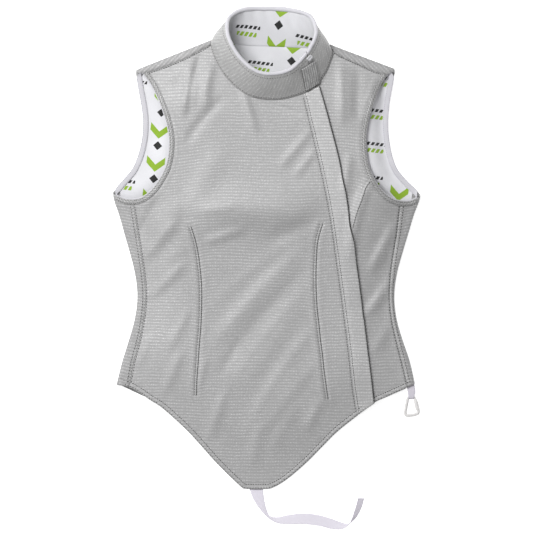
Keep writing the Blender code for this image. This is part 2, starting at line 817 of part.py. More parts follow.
def add_front_left_panel(finish):
    """The narrow front of the wearer's left side, from the zip to its side seam."""
    bottom = hem_between(zip_at(-206.0) + ZIP_HALF_GAP, side_seam_at(-178.0, "right_seam"))
    seam = along_body("right_seam", -178.0, 101.0) - (SEAM_GAP, 0)
    armhole = smooth_path(RIGHT_ARMHOLE_FRONT, 13.0)[::-1]
    shoulder = smooth_path(RIGHT_SHOULDER_SEAM, 14.0) - (0, SEAM_GAP + 0.1)
    neck = neck_edge(0.875, 0.994, -1.5)
    zip_edge = zip_line(262.0, -192.0, ZIP_HALF_GAP)
    outline = np.vstack([bottom[:-1], seam, armhole[1:-1], shoulder, neck[1:], zip_edge])
    flat, faces = meshed(outline, 18.0)
    return cloth("front_left_panel", on_front(flat), faces, SHELL_WALL, finish)


def side_seam_at(y, name):
    """X of a side seam at one height."""
    return float(column(BODY, name, y))


def zip_at(y):
    """X of the zip at one height."""
    return float(column(PLACKET, "free", y)) - ZIP_SET_IN


def add_placket_flap(finish):
    """The folded strip that covers the zip, stitched down along its inner edge."""
    offset = SHELL_WALL / 2 + LAYER_GAP + 0.2 + FLAP_WALL / 2
    heights = np.linspace(0, 1, 32)
    sewn_y = -220.6 + heights * (261.6 + 220.6)
    free_y = -203.2 + heights * (272.8 + 203.2)
    sewn = np.column_stack([column(PLACKET, "sewn", sewn_y), sewn_y])
    free = np.column_stack([column(PLACKET, "free", free_y), free_y])
    lines = [on_front(sewn * (1 - share) + free * share, offset) for share in (0, 0.33, 0.67, 1)]
    return lattice("placket_flap", lines, FLAP_WALL, finish)


def add_zip(tape_finish, coil_finish):
    """The closed zip under the placket: its tape, and the coil that fills the gap between the fronts."""
    tape_offset = -(SHELL_WALL / 2 + DRAPE_GAP + LINING_WALL / 2)
    sides = [on_front(zip_line(-192.0, 250.0, aside), tape_offset) for aside in (-TAPE_HALF, 0.0, TAPE_HALF)]
    tape = lattice("zip_tape", sides, LINING_WALL, tape_finish)
    coil_offset = tape_offset + LINING_WALL / 2 + LAYER_GAP + COIL_WALL / 2
    half = COIL_WIDTH / 2
    edges = [on_front(zip_line(-190.0, 250.0, aside), coil_offset) for aside in (-half, half)]
    coil = strip("zip_coil", edges[0], edges[1], COIL_WALL, coil_finish)
    return tape, coil


def add_collar(shell_finish, lining_finish):
    """The standing collar: its outer band, its lining, and the round binding along the top."""
    turns = np.linspace(CLOSURE_HALF, 1 - CLOSURE_HALF, COLLAR_STEPS + 1)
    shares = np.linspace(0, COLLAR_WALL_TOP, COLLAR_ROWS)
    outer = [collar_points(turns, share) for share in shares]
    inward = -(SHELL_WALL / 2 + DRAPE_GAP + LINING_WALL / 2)
    inner = [collar_points(turns, share, inward) for share in shares]
    band = lattice("collar_outer", outer, SHELL_WALL, shell_finish)
    lining = lattice("collar_lining", inner, LINING_WALL, lining_finish)
    path = collar_points(turns, 1.0, inward / 2)
    binding = tube("collar_binding", path, [BINDING_RADIUS] * len(path), lining_finish, sides=8)
    return band, lining, binding


def add_collar_tab(finish):
    """The short tab over the collar's closure, at the head of the placket."""
    upper_left, lower_left, lower_right, upper_right = (np.array(corner) for corner in TAB)
    offset = SHELL_WALL / 2 + DRAPE_GAP + FLAP_WALL / 2
    lines = []
    for down in np.linspace(0, 1, 5):
        start = upper_left * (1 - down) + lower_left * down
        end = upper_right * (1 - down) + lower_right * down
        lines.append([on_collar(start * (1 - share) + end * share, offset) for share in np.linspace(0, 1, 6)])
    return lattice("collar_tab", lines, FLAP_WALL, finish)


def add_zip_slider(finish):
    """The zip's slider, run up to the top of the collar between the ends of the binding."""
    offset = SHELL_WALL / 2 + LAYER_GAP + SLIDER_WALL / 2 + 0.2
    left, low, right, high = (np.array(corner) for corner in SLIDER)
    lines = []
    for share in (0.0, 0.5, 1.0):
        start = left * (1 - share) + low * share
        end = high * (1 - share) + right * share
        lines.append([on_collar(start * (1 - run) + end * run, offset) for run in (0.0, 0.5, 1.0)])
    return lattice("zip_slider", lines, SLIDER_WALL, finish)


def beside(path, side):
    """Unit steps square to a path: to its left with side 1, to its right with side -1."""
    ahead = np.gradient(path, axis=0)
    ahead = ahead / np.linalg.norm(ahead, axis=1)[:, None]
    return side * np.column_stack([-ahead[:, 1], ahead[:, 0]])


def add_armhole_band(name, side, front, pit, finish):
    """The narrow grey band stitched round the front edge of an armhole."""
    path = smooth_path([*front, *pit[1:-1]], 9.0)
    inner = path + BAND_WIDTH * beside(path, -side)
    offset = SHELL_WALL / 2 + DRAPE_GAP + LINING_WALL / 2
    return strip(name, on_front(path, offset), on_front(inner, offset), LINING_WALL, finish)


def add_armhole_facing(name, side, tip, front, pit, back, finish):
    """The white facing round a whole armhole: under the front edge, through both folds, over the back."""
    drop = SHELL_WALL / 2 + DRAPE_GAP + LINING_WALL / 2
    front_path = smooth_path([*tip[:-1], *front, *pit[1:]], 9.0)[1:-1]
    front_in = beside(front_path, -side)
    front_edge = on_front(front_path - FACING_SHOW * front_in, -drop)
    front_inner = on_front(front_path + (FACING_WIDTH - FACING_SHOW) * front_in, -drop)
    rest = SHELL_WALL + LINING_WALL + 2 * LAYER_GAP + LINING_WALL / 2
    back_path = smooth_path(back, 11.0)[1:-1]
    back_in = beside(back_path, side)
    level = np.full((len(back_path), 1), rest)
    back_edge = np.hstack([back_path - 0.2 * back_in, level])
    back_inner = np.hstack([back_path + FACING_WIDTH * back_in, level])
    pit_edge, pit_inner = turn_between(front_edge[-1], front_inner[-1], back_edge[0], back_inner[0], (side, 0.25))
    tip_edge, tip_inner = turn_between(back_edge[-1], back_inner[-1], front_edge[0], front_inner[0], (side * 0.35, 1))
    one_side = np.vstack([front_edge, pit_edge, back_edge, tip_edge])
    other_side = np.vstack([front_inner, pit_inner, back_inner, tip_inner])
    return strip(name, one_side, other_side, LINING_WALL, finish, closed=True)


def turn_between(edge, inner, next_edge, next_inner, outwards):
    """Three stations of a facing that turns from one layer to the other through a fold."""
    outwards = np.array([*outwards, 0.0])
    outwards = outwards / np.linalg.norm(outwards)
    bulge = abs(next_edge[2] - edge[2]) / 2
    edges = []
    inners = []
    for share in (0.25, 0.5, 0.75):
        blend = (1 - np.cos(np.pi * share)) / 2
        reach = outwards * bulge * np.sin(np.pi * share)
        edges.append(edge * (1 - blend) + next_edge * blend + reach)
        inners.append(inner * (1 - blend) + next_inner * blend + reach)
    return np.array(edges), np.array(inners)


def add_strap(finish):
    """The elastic crotch strap, laid from under the point and twisting up at its free end."""
    outer = along_stations(STRAP, "outer")
    inner = along_stations(STRAP, "inner")
    reach = np.linalg.norm(inner - outer, axis=1)
    lift = np.sqrt(np.maximum(STRAP_WIDTH**2 - reach**2, 0))
    outer = np.column_stack([outer, np.full(len(outer), STRAP_REST)])
    inner = np.column_stack([inner, STRAP_REST + lift])
    tilt = lift / STRAP_WIDTH
    outer[:, 2] += 0.02 + 0.1 * tilt
    return strip("crotch_strap", outer, inner, STRAP_WALL, finish, across=2)


def along_stations(rows, edge):
    """One edge of a ribbon, smoothed through its stations with three steps between each."""
    given = np.array([(getattr(row, f"{edge}_x"), getattr(row, f"{edge}_y")) for row in rows])
    padded = np.vstack([2 * given[0] - given[1], given, 2 * given[-1] - given[-2]])
    path = []
    for before, start, end, after in zip(padded, padded[1:], padded[2:], padded[3:]):
        for t in (0.0, 1 / 3, 2 / 3):
            bend = (2 * before - 5 * start + 4 * end - after) * t**2
            twist = (3 * start - before - 3 * end + after) * t**3
            path.append((2 * start + (end - before) * t + bend + twist) / 2)
    path.append(given[-1])
    return np.array(path)


def add_hook_loop(finish):
    """The elastic loop that carries the hook: two layers from inside the hem, folded round its bar."""
    radius = BAR_WIRE + LAYER_GAP + LOOP_WALL / 2
    half = LOOP_FOLD_WIDTH / 2
    left = [(row.left, row.y, HOOK_PIVOT_Z + row.under) for row in LOOP]
    right = [(row.right, row.y, HOOK_PIVOT_Z + row.under) for row in LOOP]
    for turn in np.radians(np.linspace(-90, 90, 9)):
        place = (HOOK_PIVOT.y - radius * np.cos(turn), HOOK_PIVOT_Z + radius * np.sin(turn))
        left.append((HOOK_PIVOT.x - half, *place))
        right.append((HOOK_PIVOT.x + half, *place))
    left += [(row.left, row.y, HOOK_PIVOT_Z + row.over) for row in LOOP[::-1]]
    right += [(row.right, row.y, HOOK_PIVOT_Z + row.over) for row in LOOP[::-1]]
    return strip("hook_loop", left, right, LOOP_WALL, finish)


def add_snap_hook(finish):
    """The plastic snap hook: a three-sided ring whose narrow top bar runs through the loop."""
    corners = (
        (-HOOK_BAR_HALF + 0.6, 0.0, BAR_WIRE),
        (-HOOK_BAR_HALF - 0.2, -1.0, BAR_WIRE),
        (-HOOK_BAR_HALF - 0.9, -3.8, HOOK_WIRE),
        (-11.6, -26.4, HOOK_WIRE),
        (-9.4, -30.0, HOOK_WIRE),
        (6.2, -28.8, HOOK_WIRE),
        (10.6, -25.6, HOOK_WIRE),
        (9.9, -21.6, GATE_WIRE),
        (HOOK_BAR_HALF + 0.9, -5.0, GATE_WIRE),
        (HOOK_BAR_HALF + 0.2, -1.0, BAR_WIRE),
        (HOOK_BAR_HALF - 0.6, 0.0, BAR_WIRE),
    )
    path = []
    radii = []
    for (x, y, radius), (to_x, to_y, to_radius) in zip(corners, corners[1:] + corners[:1]):
        steps = max(1, round(np.hypot(to_x - x, to_y - y) / 7))
        for t in np.linspace(0, 1, steps, endpoint=False):
            path.append((HOOK_PIVOT.x + x + (to_x - x) * t, HOOK_PIVOT.y + y + (to_y - y) * t, HOOK_PIVOT_Z))
            radii.append(radius + (to_radius - radius) * t)
    origin = (HOOK_PIVOT.x, HOOK_PIVOT.y, HOOK_PIVOT_Z)
    return tube("snap_hook", path, radii, finish, origin, closed=True)


def main():
    """Clear the scene and make every piece."""
    for old in list(bpy.data.objects):
        bpy.data.objects.remove(old, do_unlink=True)
    lame = material("lame", (0.42, 0.42, 0.42), 0.5, 0.35)
    lining = material("lining", (0.82, 0.82, 0.86), 0.8)
    elastic = material("elastic", (0.78, 0.76, 0.82), 0.75)
    plastic = material("plastic", (0.85, 0.85, 0.85), 0.35)
    add_back_panel(lame)
    add_back_lining(lining)
    add_front_right_panel(lame)
    add_front_left_panel(lame)
    add_placket_flap(lame)
    add_zip(elastic, plastic)
    add_collar(lame, lining)
    add_collar_tab(lame)
    add_zip_slider(plastic)
    add_armhole_band("left_armhole_band", -1, LEFT_ARMHOLE_FRONT, LEFT_ARMHOLE_PIT, lame)
    add_armhole_band("right_armhole_band", 1, RIGHT_ARMHOLE_FRONT, RIGHT_ARMHOLE_PIT, lame)
    left_armhole = (LEFT_ARMHOLE_TIP, LEFT_ARMHOLE_FRONT, LEFT_ARMHOLE_PIT, LEFT_ARMHOLE_BACK)
    right_armhole = (RIGHT_ARMHOLE_TIP, RIGHT_ARMHOLE_FRONT, RIGHT_ARMHOLE_PIT, RIGHT_ARMHOLE_BACK)
    add_armhole_facing("left_armhole_facing", -1, *left_armhole, lining)
    add_armhole_facing("right_armhole_facing", 1, *right_armhole, lining)
    add_strap(elastic)
    add_hook_loop(elastic)
    add_snap_hook(plastic)


main()
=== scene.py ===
"""Foil lame laid flat on its back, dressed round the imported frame.

The frame is in metres with +X to the right of the laid garment, +Y to its neck and +Z up from the
table. The cloth's own forms are drawn in millimetres, as its pattern is, and are scaled to metres
when a mesh is made. Each cloth piece is a thin shell on the form of the solid that it replaces,
with its creases, seams, darts and stitches worked into it.
"""

import logging
from dataclasses import dataclass, replace
from enum import Enum
from functools import lru_cache
from typing import Any, Callable, Iterable, NamedTuple, Sequence

import bmesh
import bpy
import numpy as np
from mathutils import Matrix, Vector
from mathutils.geometry import delaunay_2d_cdt

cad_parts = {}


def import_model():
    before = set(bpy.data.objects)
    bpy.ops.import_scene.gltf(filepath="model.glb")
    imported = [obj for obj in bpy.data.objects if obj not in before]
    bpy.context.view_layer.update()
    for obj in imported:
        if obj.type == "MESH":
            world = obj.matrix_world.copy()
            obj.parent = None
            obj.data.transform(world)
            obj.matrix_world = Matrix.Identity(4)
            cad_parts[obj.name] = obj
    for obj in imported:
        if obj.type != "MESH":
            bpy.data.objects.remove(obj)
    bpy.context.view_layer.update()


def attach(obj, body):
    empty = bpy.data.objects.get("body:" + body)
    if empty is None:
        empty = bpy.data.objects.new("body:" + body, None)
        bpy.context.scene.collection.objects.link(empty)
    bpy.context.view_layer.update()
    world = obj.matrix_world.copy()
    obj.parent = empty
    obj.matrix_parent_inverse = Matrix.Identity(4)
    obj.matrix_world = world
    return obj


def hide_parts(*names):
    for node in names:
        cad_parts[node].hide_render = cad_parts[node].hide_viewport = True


LOG = logging.getLogger("foil_lame")
MM = 0.001

Array = np.ndarray
Color = tuple[float, float, float]
Piece = bpy.types.Object
Shape = tuple[Array, list[tuple[int, ...]]]

# Walls and gaps of the pattern, as the solids have them.
SHELL_WALL = 1.2
LINING_WALL = 1.0
FLAP_WALL = 1.6
LAYER_GAP = 0.3
DRAPE_GAP = 0.6
SEAM_GAP = 0.12
SHOULDER_GAP = SEAM_GAP + 0.1
FOLD_TOP = 7.5
FOLD_RADIUS = (FOLD_TOP - SHELL_WALL / 2) / 2
FOLD_ARC = np.pi * FOLD_RADIUS
SIDE_REACH = 45.0
SHOULDER_REACH = 40.0
HEM_REACH = 55.0
BACK_HEM_DROP = 58.0
BACK_SEAT = 1.3

# From the middle of the shell out to its stitches, up to the flap and down to the lining.
STITCH_SEAT = SHELL_WALL / 2 + 0.2
FLAP_SEAT = LAYER_GAP + 0.2
LINING_DROP = SHELL_WALL / 2 + DRAPE_GAP + LINING_WALL / 2

# Trims and findings.
BINDING_RADIUS = 2.4
BAND_WIDTH = 7.0
FACING_WIDTH = 8.0
FACING_SHOW = 1.4
ZIP_SET_IN = 9.0
ZIP_HALF_GAP = 2.6
TAPE_HALF = 10.0
COIL_WIDTH = 4.0
COIL_WALL = 1.4
SLIDER_WALL = 2.4
STRAP_WALL = 1.0
STRAP_WIDTH = 20.0
STRAP_REST = 0.5
LOOP_FOLD_WIDTH = 9.0
LOOP_WALL = 1.0
HOOK_WIRE = 2.5
BAR_WIRE = 1.5
GATE_WIRE = 3.1


def rows_of(kind: Callable[..., Any], *rows: Sequence[float]) -> tuple[Any, ...]:
    """The rows of a table, from their plain numbers."""
    return tuple(kind(*map(float, row)) for row in rows)


class Section(NamedTuple):
    """One height of the body: its outline and the seams that join front and back."""

    y: float
    left_edge: float
    left_seam: float
    right_seam: float
    right_edge: float


BODY = rows_of(
    Section, (-340, -250, -230, 236, 246), (-215, -233, -213, 220, 231), (-173.7, -224.3, -204.8, 211, 222),
    (-137.7, -215.3, -198, 202.5, 213.8), (-107.7, -206, -190, 194.8, 203.6),
    (-77.7, -197.6, -184.2, 188.3, 195), (-44.7, -193.4, -181, 185, 191.2),
    (-10.2, -196.5, -183.2, 186.5, 194.8), (19.9, -203.7, -187.5, 190.4, 202.6),
    (49.9, -212.3, -192.2, 195.3, 211.6), (79.9, -220.7, -196.8, 198.9, 220.6),
    (106.9, -229.4, -200.6, 201.6, 230), (150, -226, -199, 200, 226), (225, -211, -185, 185, 210),
    (297, -196, -170, 170, 194), (360, -188, -160, 160, 186),
)


class Loft(NamedTuple):
    """One height of the front: how high its edges lie and how far its middle is puffed up."""

    y: float
    edge: float
    rise: float


LOFT = rows_of(
    Loft, (-340, 2.2, 0), (-300, 2.8, 3), (-255, 4.6, 6), (-215, 6.4, 8), (-174, 7.5, 9.5), (-110, 7.5, 11),
    (-45, 7.5, 12.5), (10, 7.5, 15.5), (70, 7.5, 20), (120, 7.5, 20), (190, 7.5, 17), (250, 7.5, 15.5),
    (300, 7.5, 12), (360, 7.5, 8),
)


class Point(NamedTuple):
    """A point of an outline, seen from above."""

    x: float
    y: float


class Half(NamedTuple):
    """One half of the laid garment: its shoulder's ends and seam, and its armhole's edges.

    The armhole runs on the front from the shoulder fold to the pit's fold, then up the back.
    """

    name: str
    side: int
    seam_top: float
    shoulder_tip: Point
    neck_point: Point
    tip: Sequence[Point]
    front: Sequence[Point]
    pit: Sequence[Point]
    back: Sequence[Point]
    shoulder: Sequence[Point]


LEFT = Half(
    "left", -1, 103.0, Point(-196.6, 296.6), Point(-81.8, 342.4),
    tip=rows_of(Point, (-195, 292.8), (-188.6, 293.4), (-183.8, 291.4)),
    front=rows_of(
        Point, (-183.8, 291.4), (-171, 273), (-157.5, 243), (-148.5, 214), (-145.5, 187), (-149.5, 157),
        (-160.5, 133), (-174.5, 115), (-188, 105.5), (-200.2, 102.9),
    ),
    pit=rows_of(Point, (-200.2, 102.9), (-214, 104.4), (-229.2, 111.2)),
    back=rows_of(
        Point, (-229.6, 114.8), (-220.4, 127), (-203.3, 146.5), (-194, 165.5), (-187.5, 190), (-185.2, 215),
        (-187.2, 240), (-191.6, 265), (-195.9, 291.4),
    ),
    shoulder=rows_of(
        Point, (-183.8, 291.4), (-167, 296.8), (-145, 304.8), (-122, 314.6), (-100, 325.8), (-83.6, 334.8),
    ),
)
RIGHT = Half(
    "right", 1, 101.0, Point(193.2, 298.5), Point(92.3, 336.4),
    tip=rows_of(Point, (191.6, 294.2), (186, 293.6), (180, 289.3)),
    front=rows_of(
        Point, (180, 289.3), (170, 273), (159.5, 246), (151.5, 215), (149.3, 189), (152.3, 158), (162.8, 131),
        (176.5, 113), (190, 103.8), (201.3, 100.6),
    ),
    pit=rows_of(Point, (201.3, 100.6), (215, 101), (229.2, 107.2)),
    back=rows_of(
        Point, (229.4, 111.8), (222.2, 120.4), (211.8, 130), (197, 147.5), (189.3, 166), (184.2, 190),
        (182.3, 218), (184.6, 248), (188.8, 272), (192.2, 292.6),
    ),
    shoulder=rows_of(
        Point, (180, 289.3), (161, 295.6), (141, 304.8), (125.3, 311.8), (108, 320), (98, 326.2),
    ),
)
HALVES = (LEFT, RIGHT)
STRIP_TOP = LEFT.shoulder_tip.y - 60  # the sides turn over below here, the shoulders above

# Hem of the front, from the left side fold round the point to the right side fold.
HEM = rows_of(
    Point, (-226, -172.8), (-207, -177.5), (-189.8, -187.2), (-174.8, -197.6), (-155.3, -210.5),
    (-116.3, -246.5), (-74.3, -293), (-39.8, -326.6), (-33.8, -330.6), (-5, -331.2), (8.3, -329.6),
    (29.3, -317.6), (57.8, -293.6), (81.8, -269.6), (105.8, -245.6), (135.8, -221.6), (160.5, -202.4),
    (185.3, -190.9), (210.8, -179.6), (224, -173.2),
)


class FlapRow(NamedTuple):
    """One height of the placket: its stitched edge and its free edge."""

    y: float
    sewn: float
    free: float


PLACKET = rows_of(
    FlapRow, (-222, 137.2, 163.5), (-186, 131.4, 159), (-126, 124.6, 151.6), (-55, 115.6, 142.6),
    (5, 107.4, 134.6), (87, 95.4, 122.8), (147, 83.4, 112.4), (210, 68.4, 96.8), (260, 56.4, 82.8),
    (285, 49, 75),
)


class CollarStation(NamedTuple):
    """One rib of the standing collar: its foot, how far the foot sits up on the front, and its top."""

    foot_x: float
    foot_y: float
    seat: float
    top_x: float
    top_y: float
    top_z: float


# From the closure over the zip round the front, the left side, the back and the right side.
COLLAR = rows_of(
    CollarStation, (70.5, 270.6, 1, 60.5, 322, 55.5), (44.3, 259, 1, 35.3, 297.5, 59),
    (12.8, 253.3, 1, 3.8, 291.2, 60), (-24.8, 258.8, 1, -18.8, 297.2, 60),
    (-51.8, 277.8, 1, -39.8, 315.4, 58), (-71.5, 303.4, 1, -54, 337.8, 54),
    (-80.2, 333, 0.55, -59.6, 357, 47), (-66.8, 338.6, 0, -56.4, 376.2, 34), (-36, 337.8, 0, -35, 388, 18),
    (0, 338.2, 0, 1.5, 389.6, 11), (36, 335.2, 0, 38, 387, 14), (70, 329.6, 0, 65.8, 378.4, 25),
    (94.6, 324, 0.85, 75, 357.6, 42), (94.5, 307.6, 1, 72.2, 342.2, 49), (87, 290.4, 1, 66.9, 332, 52),
)
TAB = rows_of(Point, (51, 299.4), (58.4, 267.4), (78.4, 279.2), (71.4, 312.4))
SLIDER = rows_of(Point, (58.6, 315), (62.6, 310.6), (68.6, 317.2), (64.6, 321.6))

# Stations of the elastic strap: X and Y of its outer edge on the table, then of its inner edge.
STRAP = (
    (-27.5, -314, -7.5, -314), (-25.4, -331.5, -5.4, -331.5), (-20.6, -345, -3.4, -346.5),
    (-13, -357.6, -0.6, -359.4), (-3.4, -369, 3.4, -369.6), (6, -377, 7.4, -372.4),
    (17, -382.4, 16.6, -373.2), (35, -383.8, 34.8, -369.6), (58, -383.8, 56.6, -367.6),
    (80, -386.6, 78.8, -370.2), (98, -391, 98.8, -376), (113, -391.2, 113.2, -381.2),
    (122.6, -385, 123.4, -382.4), (128.2, -374.4, 134.2, -374), (133, -359.6, 142.4, -359),
    (137.2, -344.6, 146.6, -344.8),
)


class LoopRow(NamedTuple):
    """One height of the hook's elastic loop: its two sides, and how far its layers lie from the bar."""

    y: float
    left: float
    right: float
    under: float
    over: float


LOOP = rows_of(
    LoopRow, (-163, 206.5, 217, 0.15, 1.4), (-178, 210.8, 222.4, -0.6, 1.4), (-186, 211.8, 223.2, -1.6, 2),
)


class Crease(NamedTuple):
    """A soft ridge, or a trough where its height is negative, from one end to the other."""

    x: float
    y: float
    to_x: float
    to_y: float
    half_width: float
    height: float
    bow: float = 0.0


# The broad folds that the solids have too.
FOLDS = rows_of(
    Crease, (66, 34, -92, -128, 15, 2), (70, -28, -56, -200, 14, 1.8), (60, -128, -22, -262, 14, 1.6),
    (-122, 108, -176, 40, 13, 1.8), (-116, 42, -176, -22, 13, 1.4), (-104, 300, -124, 232, 12, 1.8),
    (126, 300, 122, 216, 12, 1.6),
)

# The drag lines of the laid cloth: under the bust, across the belly, down from the shoulders.
FRONT_CREASES = rows_of(
    Crease, (74, 48, -94, -135, 10, 1.3, -9), (77, -12, -70, -201, 9, 1.2, -9),
    (83, -72, -43, -270, 9.5, 1.6, -8), (89, -126, -4, -255, 8, 1, -5), (80, 18, -82, -171, 8, -0.7, -9),
    (56, 54, -100, -75, 9, 0.7, -6), (-31, -93, -76, -171, 7, -0.8), (-112, -54, -151, -129, 7, 1.5),
    (-124, -117, -157, -195, 7.5, 1.9), (-58, -174, -91, -267, 8, 1.8), (-88, -123, -106, -192, 6, 1.1),
    (-172, -93, -196, -156, 8, 1.5), (-127, 81, -193, 6, 9, 3.4), (-115, 15, -184, -51, 8, 2.6),
    (-157, 114, -196, 39, 8, -3), (-58, 195, -133, 63, 18, 2.4), (-110, 316, -127, 222, 9, 3.6, 3),
    (-93, 334, -117, 216, 5.5, -3.2, -7), (-76, 322, -92, 228, 8, 4, -6), (-58, 262, -126, 178, 7, -2.2, -5),
    (-40, 279, -13, 195, 6, 2.6), (-181, 273, -82, 321, 15, 2.6), (74, 216, 14, 144, 6.5, 1.9),
    (77, 183, 38, 132, 6, 1.6), (-19, 255, 62, 228, 4.5, -1.5), (-133, 84, 101, 83, 29, 10.5, 6),
    (-7, 38, 86, 78, 12, -2.4), (-112, 84, -34, 96, 8, 1.6), (-100, 36, -25, 63, 7, 2.2),
    (112, 321, 113, 204, 6, 2.6), (136, 309, 134, 213, 8, -2.4), (161, 291, 155, 210, 7, 1.8),
    (125, 180, 116, 99, 7, 2.2), (158, 141, 125, 3, 8, 4.4, -8), (199, 78, 151, -15, 8, 4.6),
    (196, -7, 145, -78, 8, 4.2), (191, -75, 155, -135, 9, 1.8), (86, -189, 56, -249, 8, 1.8),
    (-4, -219, -28, -309, 10, 1.7), (50, -192, 2, -282, 9, 1.4),
)

# The back lies on the table, so its creases only rise from it.
BACK_CREASES = rows_of(
    Crease, (-120, 250, -30, 150, 12, 1.6, 10), (128, 240, 40, 128, 10, 1.4, -8),
    (-150, 60, -20, -30, 13, 1.5, -9), (154, 40, 36, -70, 12, 1.7, 10), (-150, -60, -60, -170, 10, 1.3, 6),
    (20, -80, 80, -190, 11, 1.2, -7), (0, 300, -8, 200, 14, 1.2, 4), (-198, 160, -160, 120, 7, 0.9, 3),
)

# Where the lining's own slack lifts it from the back.
LINING_FOLDS = rows_of(
    Crease, (-198, 196, -170, 148, 7, 1.3), (-196, 250, -166, 216, 8, 1.2), (-214, 132, -176, 112, 6, 1.4),
    (192, 216, 166, 168, 8, 1.3), (210, 140, 178, 112, 7, 1.4), (-60, 322, -20, 280, 10, 0.8),
    (64, 318, 30, 276, 9, 0.8), (10, 330, 4, 286, 7, 0.5),
)

DARTS = {
    "left_dart": rows_of(
        Point, (-114.8, 61.8), (-110.2, 48.3), (-105.8, 31.8), (-102.8, 13.8), (-100.5, -5.7), (-99, -25.2),
        (-98.6, -43.2), (-99, -65.7), (-99.8, -85.2), (-101.3, -104.7), (-102.8, -122.7), (-104.3, -145.2),
        (-105.8, -167.7), (-106.5, -190.2),
    ),
    "right_dart": rows_of(
        Point, (82.5, 66.3), (78.8, 54.3), (75, 37.8), (73.5, 15.3), (72.8, -2.7), (72.8, -25.2), (73.5, -44.7),
        (75, -65.7), (77.3, -85.2), (79.5, -107.7), (82.5, -130.2), (84.8, -152.7), (87.8, -175.2),
        (90.8, -196.2),
    ),
    "bust_dart": rows_of(
        Point, (153.8, 129.3), (147.8, 120.3), (141.8, 102.3), (135.8, 87.3), (131.3, 72.3), (128.3, 60.3),
    ),
}


def column(table: Sequence[Any], name: str, at: Any) -> Array:
    """Read one column of a table at any height, by a smooth curve through its rows.

    Args:
        table: rows that have a `y` and the named column.
        name: the column.
        at: the heights.

    Returns:
        The column's value at each height.
    """
    keys = np.array([row.y for row in table])
    values = np.array([getattr(row, name) for row in table])
    slopes = np.gradient(values, keys)
    at = np.clip(np.asarray(at, float), keys[0], keys[-1])
    row = np.clip(np.searchsorted(keys, at) - 1, 0, len(keys) - 2)
    span = keys[row + 1] - keys[row]
    t = (at - keys[row]) / span
    start = values[row] * (1 + 2 * t) + slopes[row] * span * t
    end = values[row + 1] * (3 - 2 * t) - slopes[row + 1] * span * (1 - t)
    return start * (1 - t) ** 2 + end * t**2


def line_at(table: Sequence[Any], name: str, heights: Array) -> Array:
    """The points of one column of a table at the given heights."""
    return np.column_stack([column(table, name, heights), heights])


def resampled(path: Array, spacing: float) -> Array:
    """The same polyline with its points evenly spread, about a spacing apart."""
    steps = np.linalg.norm(np.diff(path, axis=0), axis=1)
    run = np.concatenate([[0], np.cumsum(steps)])
    stops = np.linspace(0, run[-1], max(2, round(run[-1] / spacing) + 1))
    return np.column_stack([np.interp(stops, run, path[:, axis]) for axis in range(path.shape[1])])


def spline(before: Array, start: Array, end: Array, after: Array, t: Any) -> Array:
    """Places on the Catmull-Rom curve from a start to an end, by shares of the way."""
    bend = (2 * before - 5 * start + 4 * end - after) * t**2
    twist = (3 * start - before - 3 * end + after) * t**3
    return (2 * start + (end - before) * t + bend + twist) / 2


def curved(points: Any, steps: int = 12) -> Array:
    """A smooth curve through points, in so many steps from each to the next."""
    given = np.array(points, float)
    padded = np.vstack([2 * given[0] - given[1], given, 2 * given[-1] - given[-2]])
    shares = np.linspace(0, 1, steps, endpoint=False)
    fine = [spline(*padded[row : row + 4], t) for row in range(len(given) - 1) for t in shares]
    return np.array([*fine, given[-1]])


def smooth_path(points: Any, spacing: float) -> Array:
    """Points about a spacing apart on a smooth curve through the given ones."""
    return resampled(curved(points), spacing)


def unit(steps: Array) -> Array:
    """The same steps, each of length one."""
    return steps / np.linalg.norm(steps, axis=1)[:, None]


def swell(distance: Array, reach: float) -> Array:
    """0 at an edge, rising softly to 1 beyond its reach."""
    return 1 - np.exp(-((np.maximum(distance, 0) / reach) ** 2))


def bump(distance: Array, half_width: float) -> Array:
    """1 on a line, falling softly to 0 beyond its half width."""
    return np.exp(-((distance / half_width) ** 2))


def fold_line(x: Array) -> Array:
    """Height on the pattern where both shoulders are folded."""
    lines = []
    for half in HALVES:
        tip, neck = half.shoulder_tip, half.neck_point
        lines.append(tip.y + (neck.y - tip.y) / (neck.x - tip.x) * (x - tip.x))
    return np.minimum(*lines)


def in_neck(x: Array) -> Array:
    """Which places lie between the neck's ends, where no shoulder turns over."""
    return (x > LEFT.neck_point.x + 4) & (x < RIGHT.neck_point.x - 4)


@lru_cache
def hem_path() -> Array:
    """The front's hem as closely spaced points."""
    return smooth_path(HEM, 4.0)


def hem_line(x: Any) -> Array:
    """Height on the pattern of the front's hem."""
    return np.interp(x, hem_path()[:, 0], hem_path()[:, 1])


def ridge(crease: Crease, x: Array, y: Array) -> Array:
    """Height that one crease or fold adds to a cloth.

    Args:
        crease: the ridge, bowed aside by its `bow`.
        x: places across the pattern.
        y: places up the pattern.

    Returns:
        The height at each place.
    """
    start = np.array([crease.x, crease.y])
    along = np.array([crease.to_x, crease.to_y]) - start
    length = np.linalg.norm(along)
    along = along / length
    run = (x - start[0]) * along[0] + (y - start[1]) * along[1]
    aside = (y - start[1]) * along[0] - (x - start[0]) * along[1]
    share = np.clip(run / length, 0, 1)
    aside = aside - crease.bow * 4 * share * (1 - share)
    ends = swell(run, length / 5) * swell(length - run, length / 5)
    return crease.height * bump(aside, crease.half_width) * ends


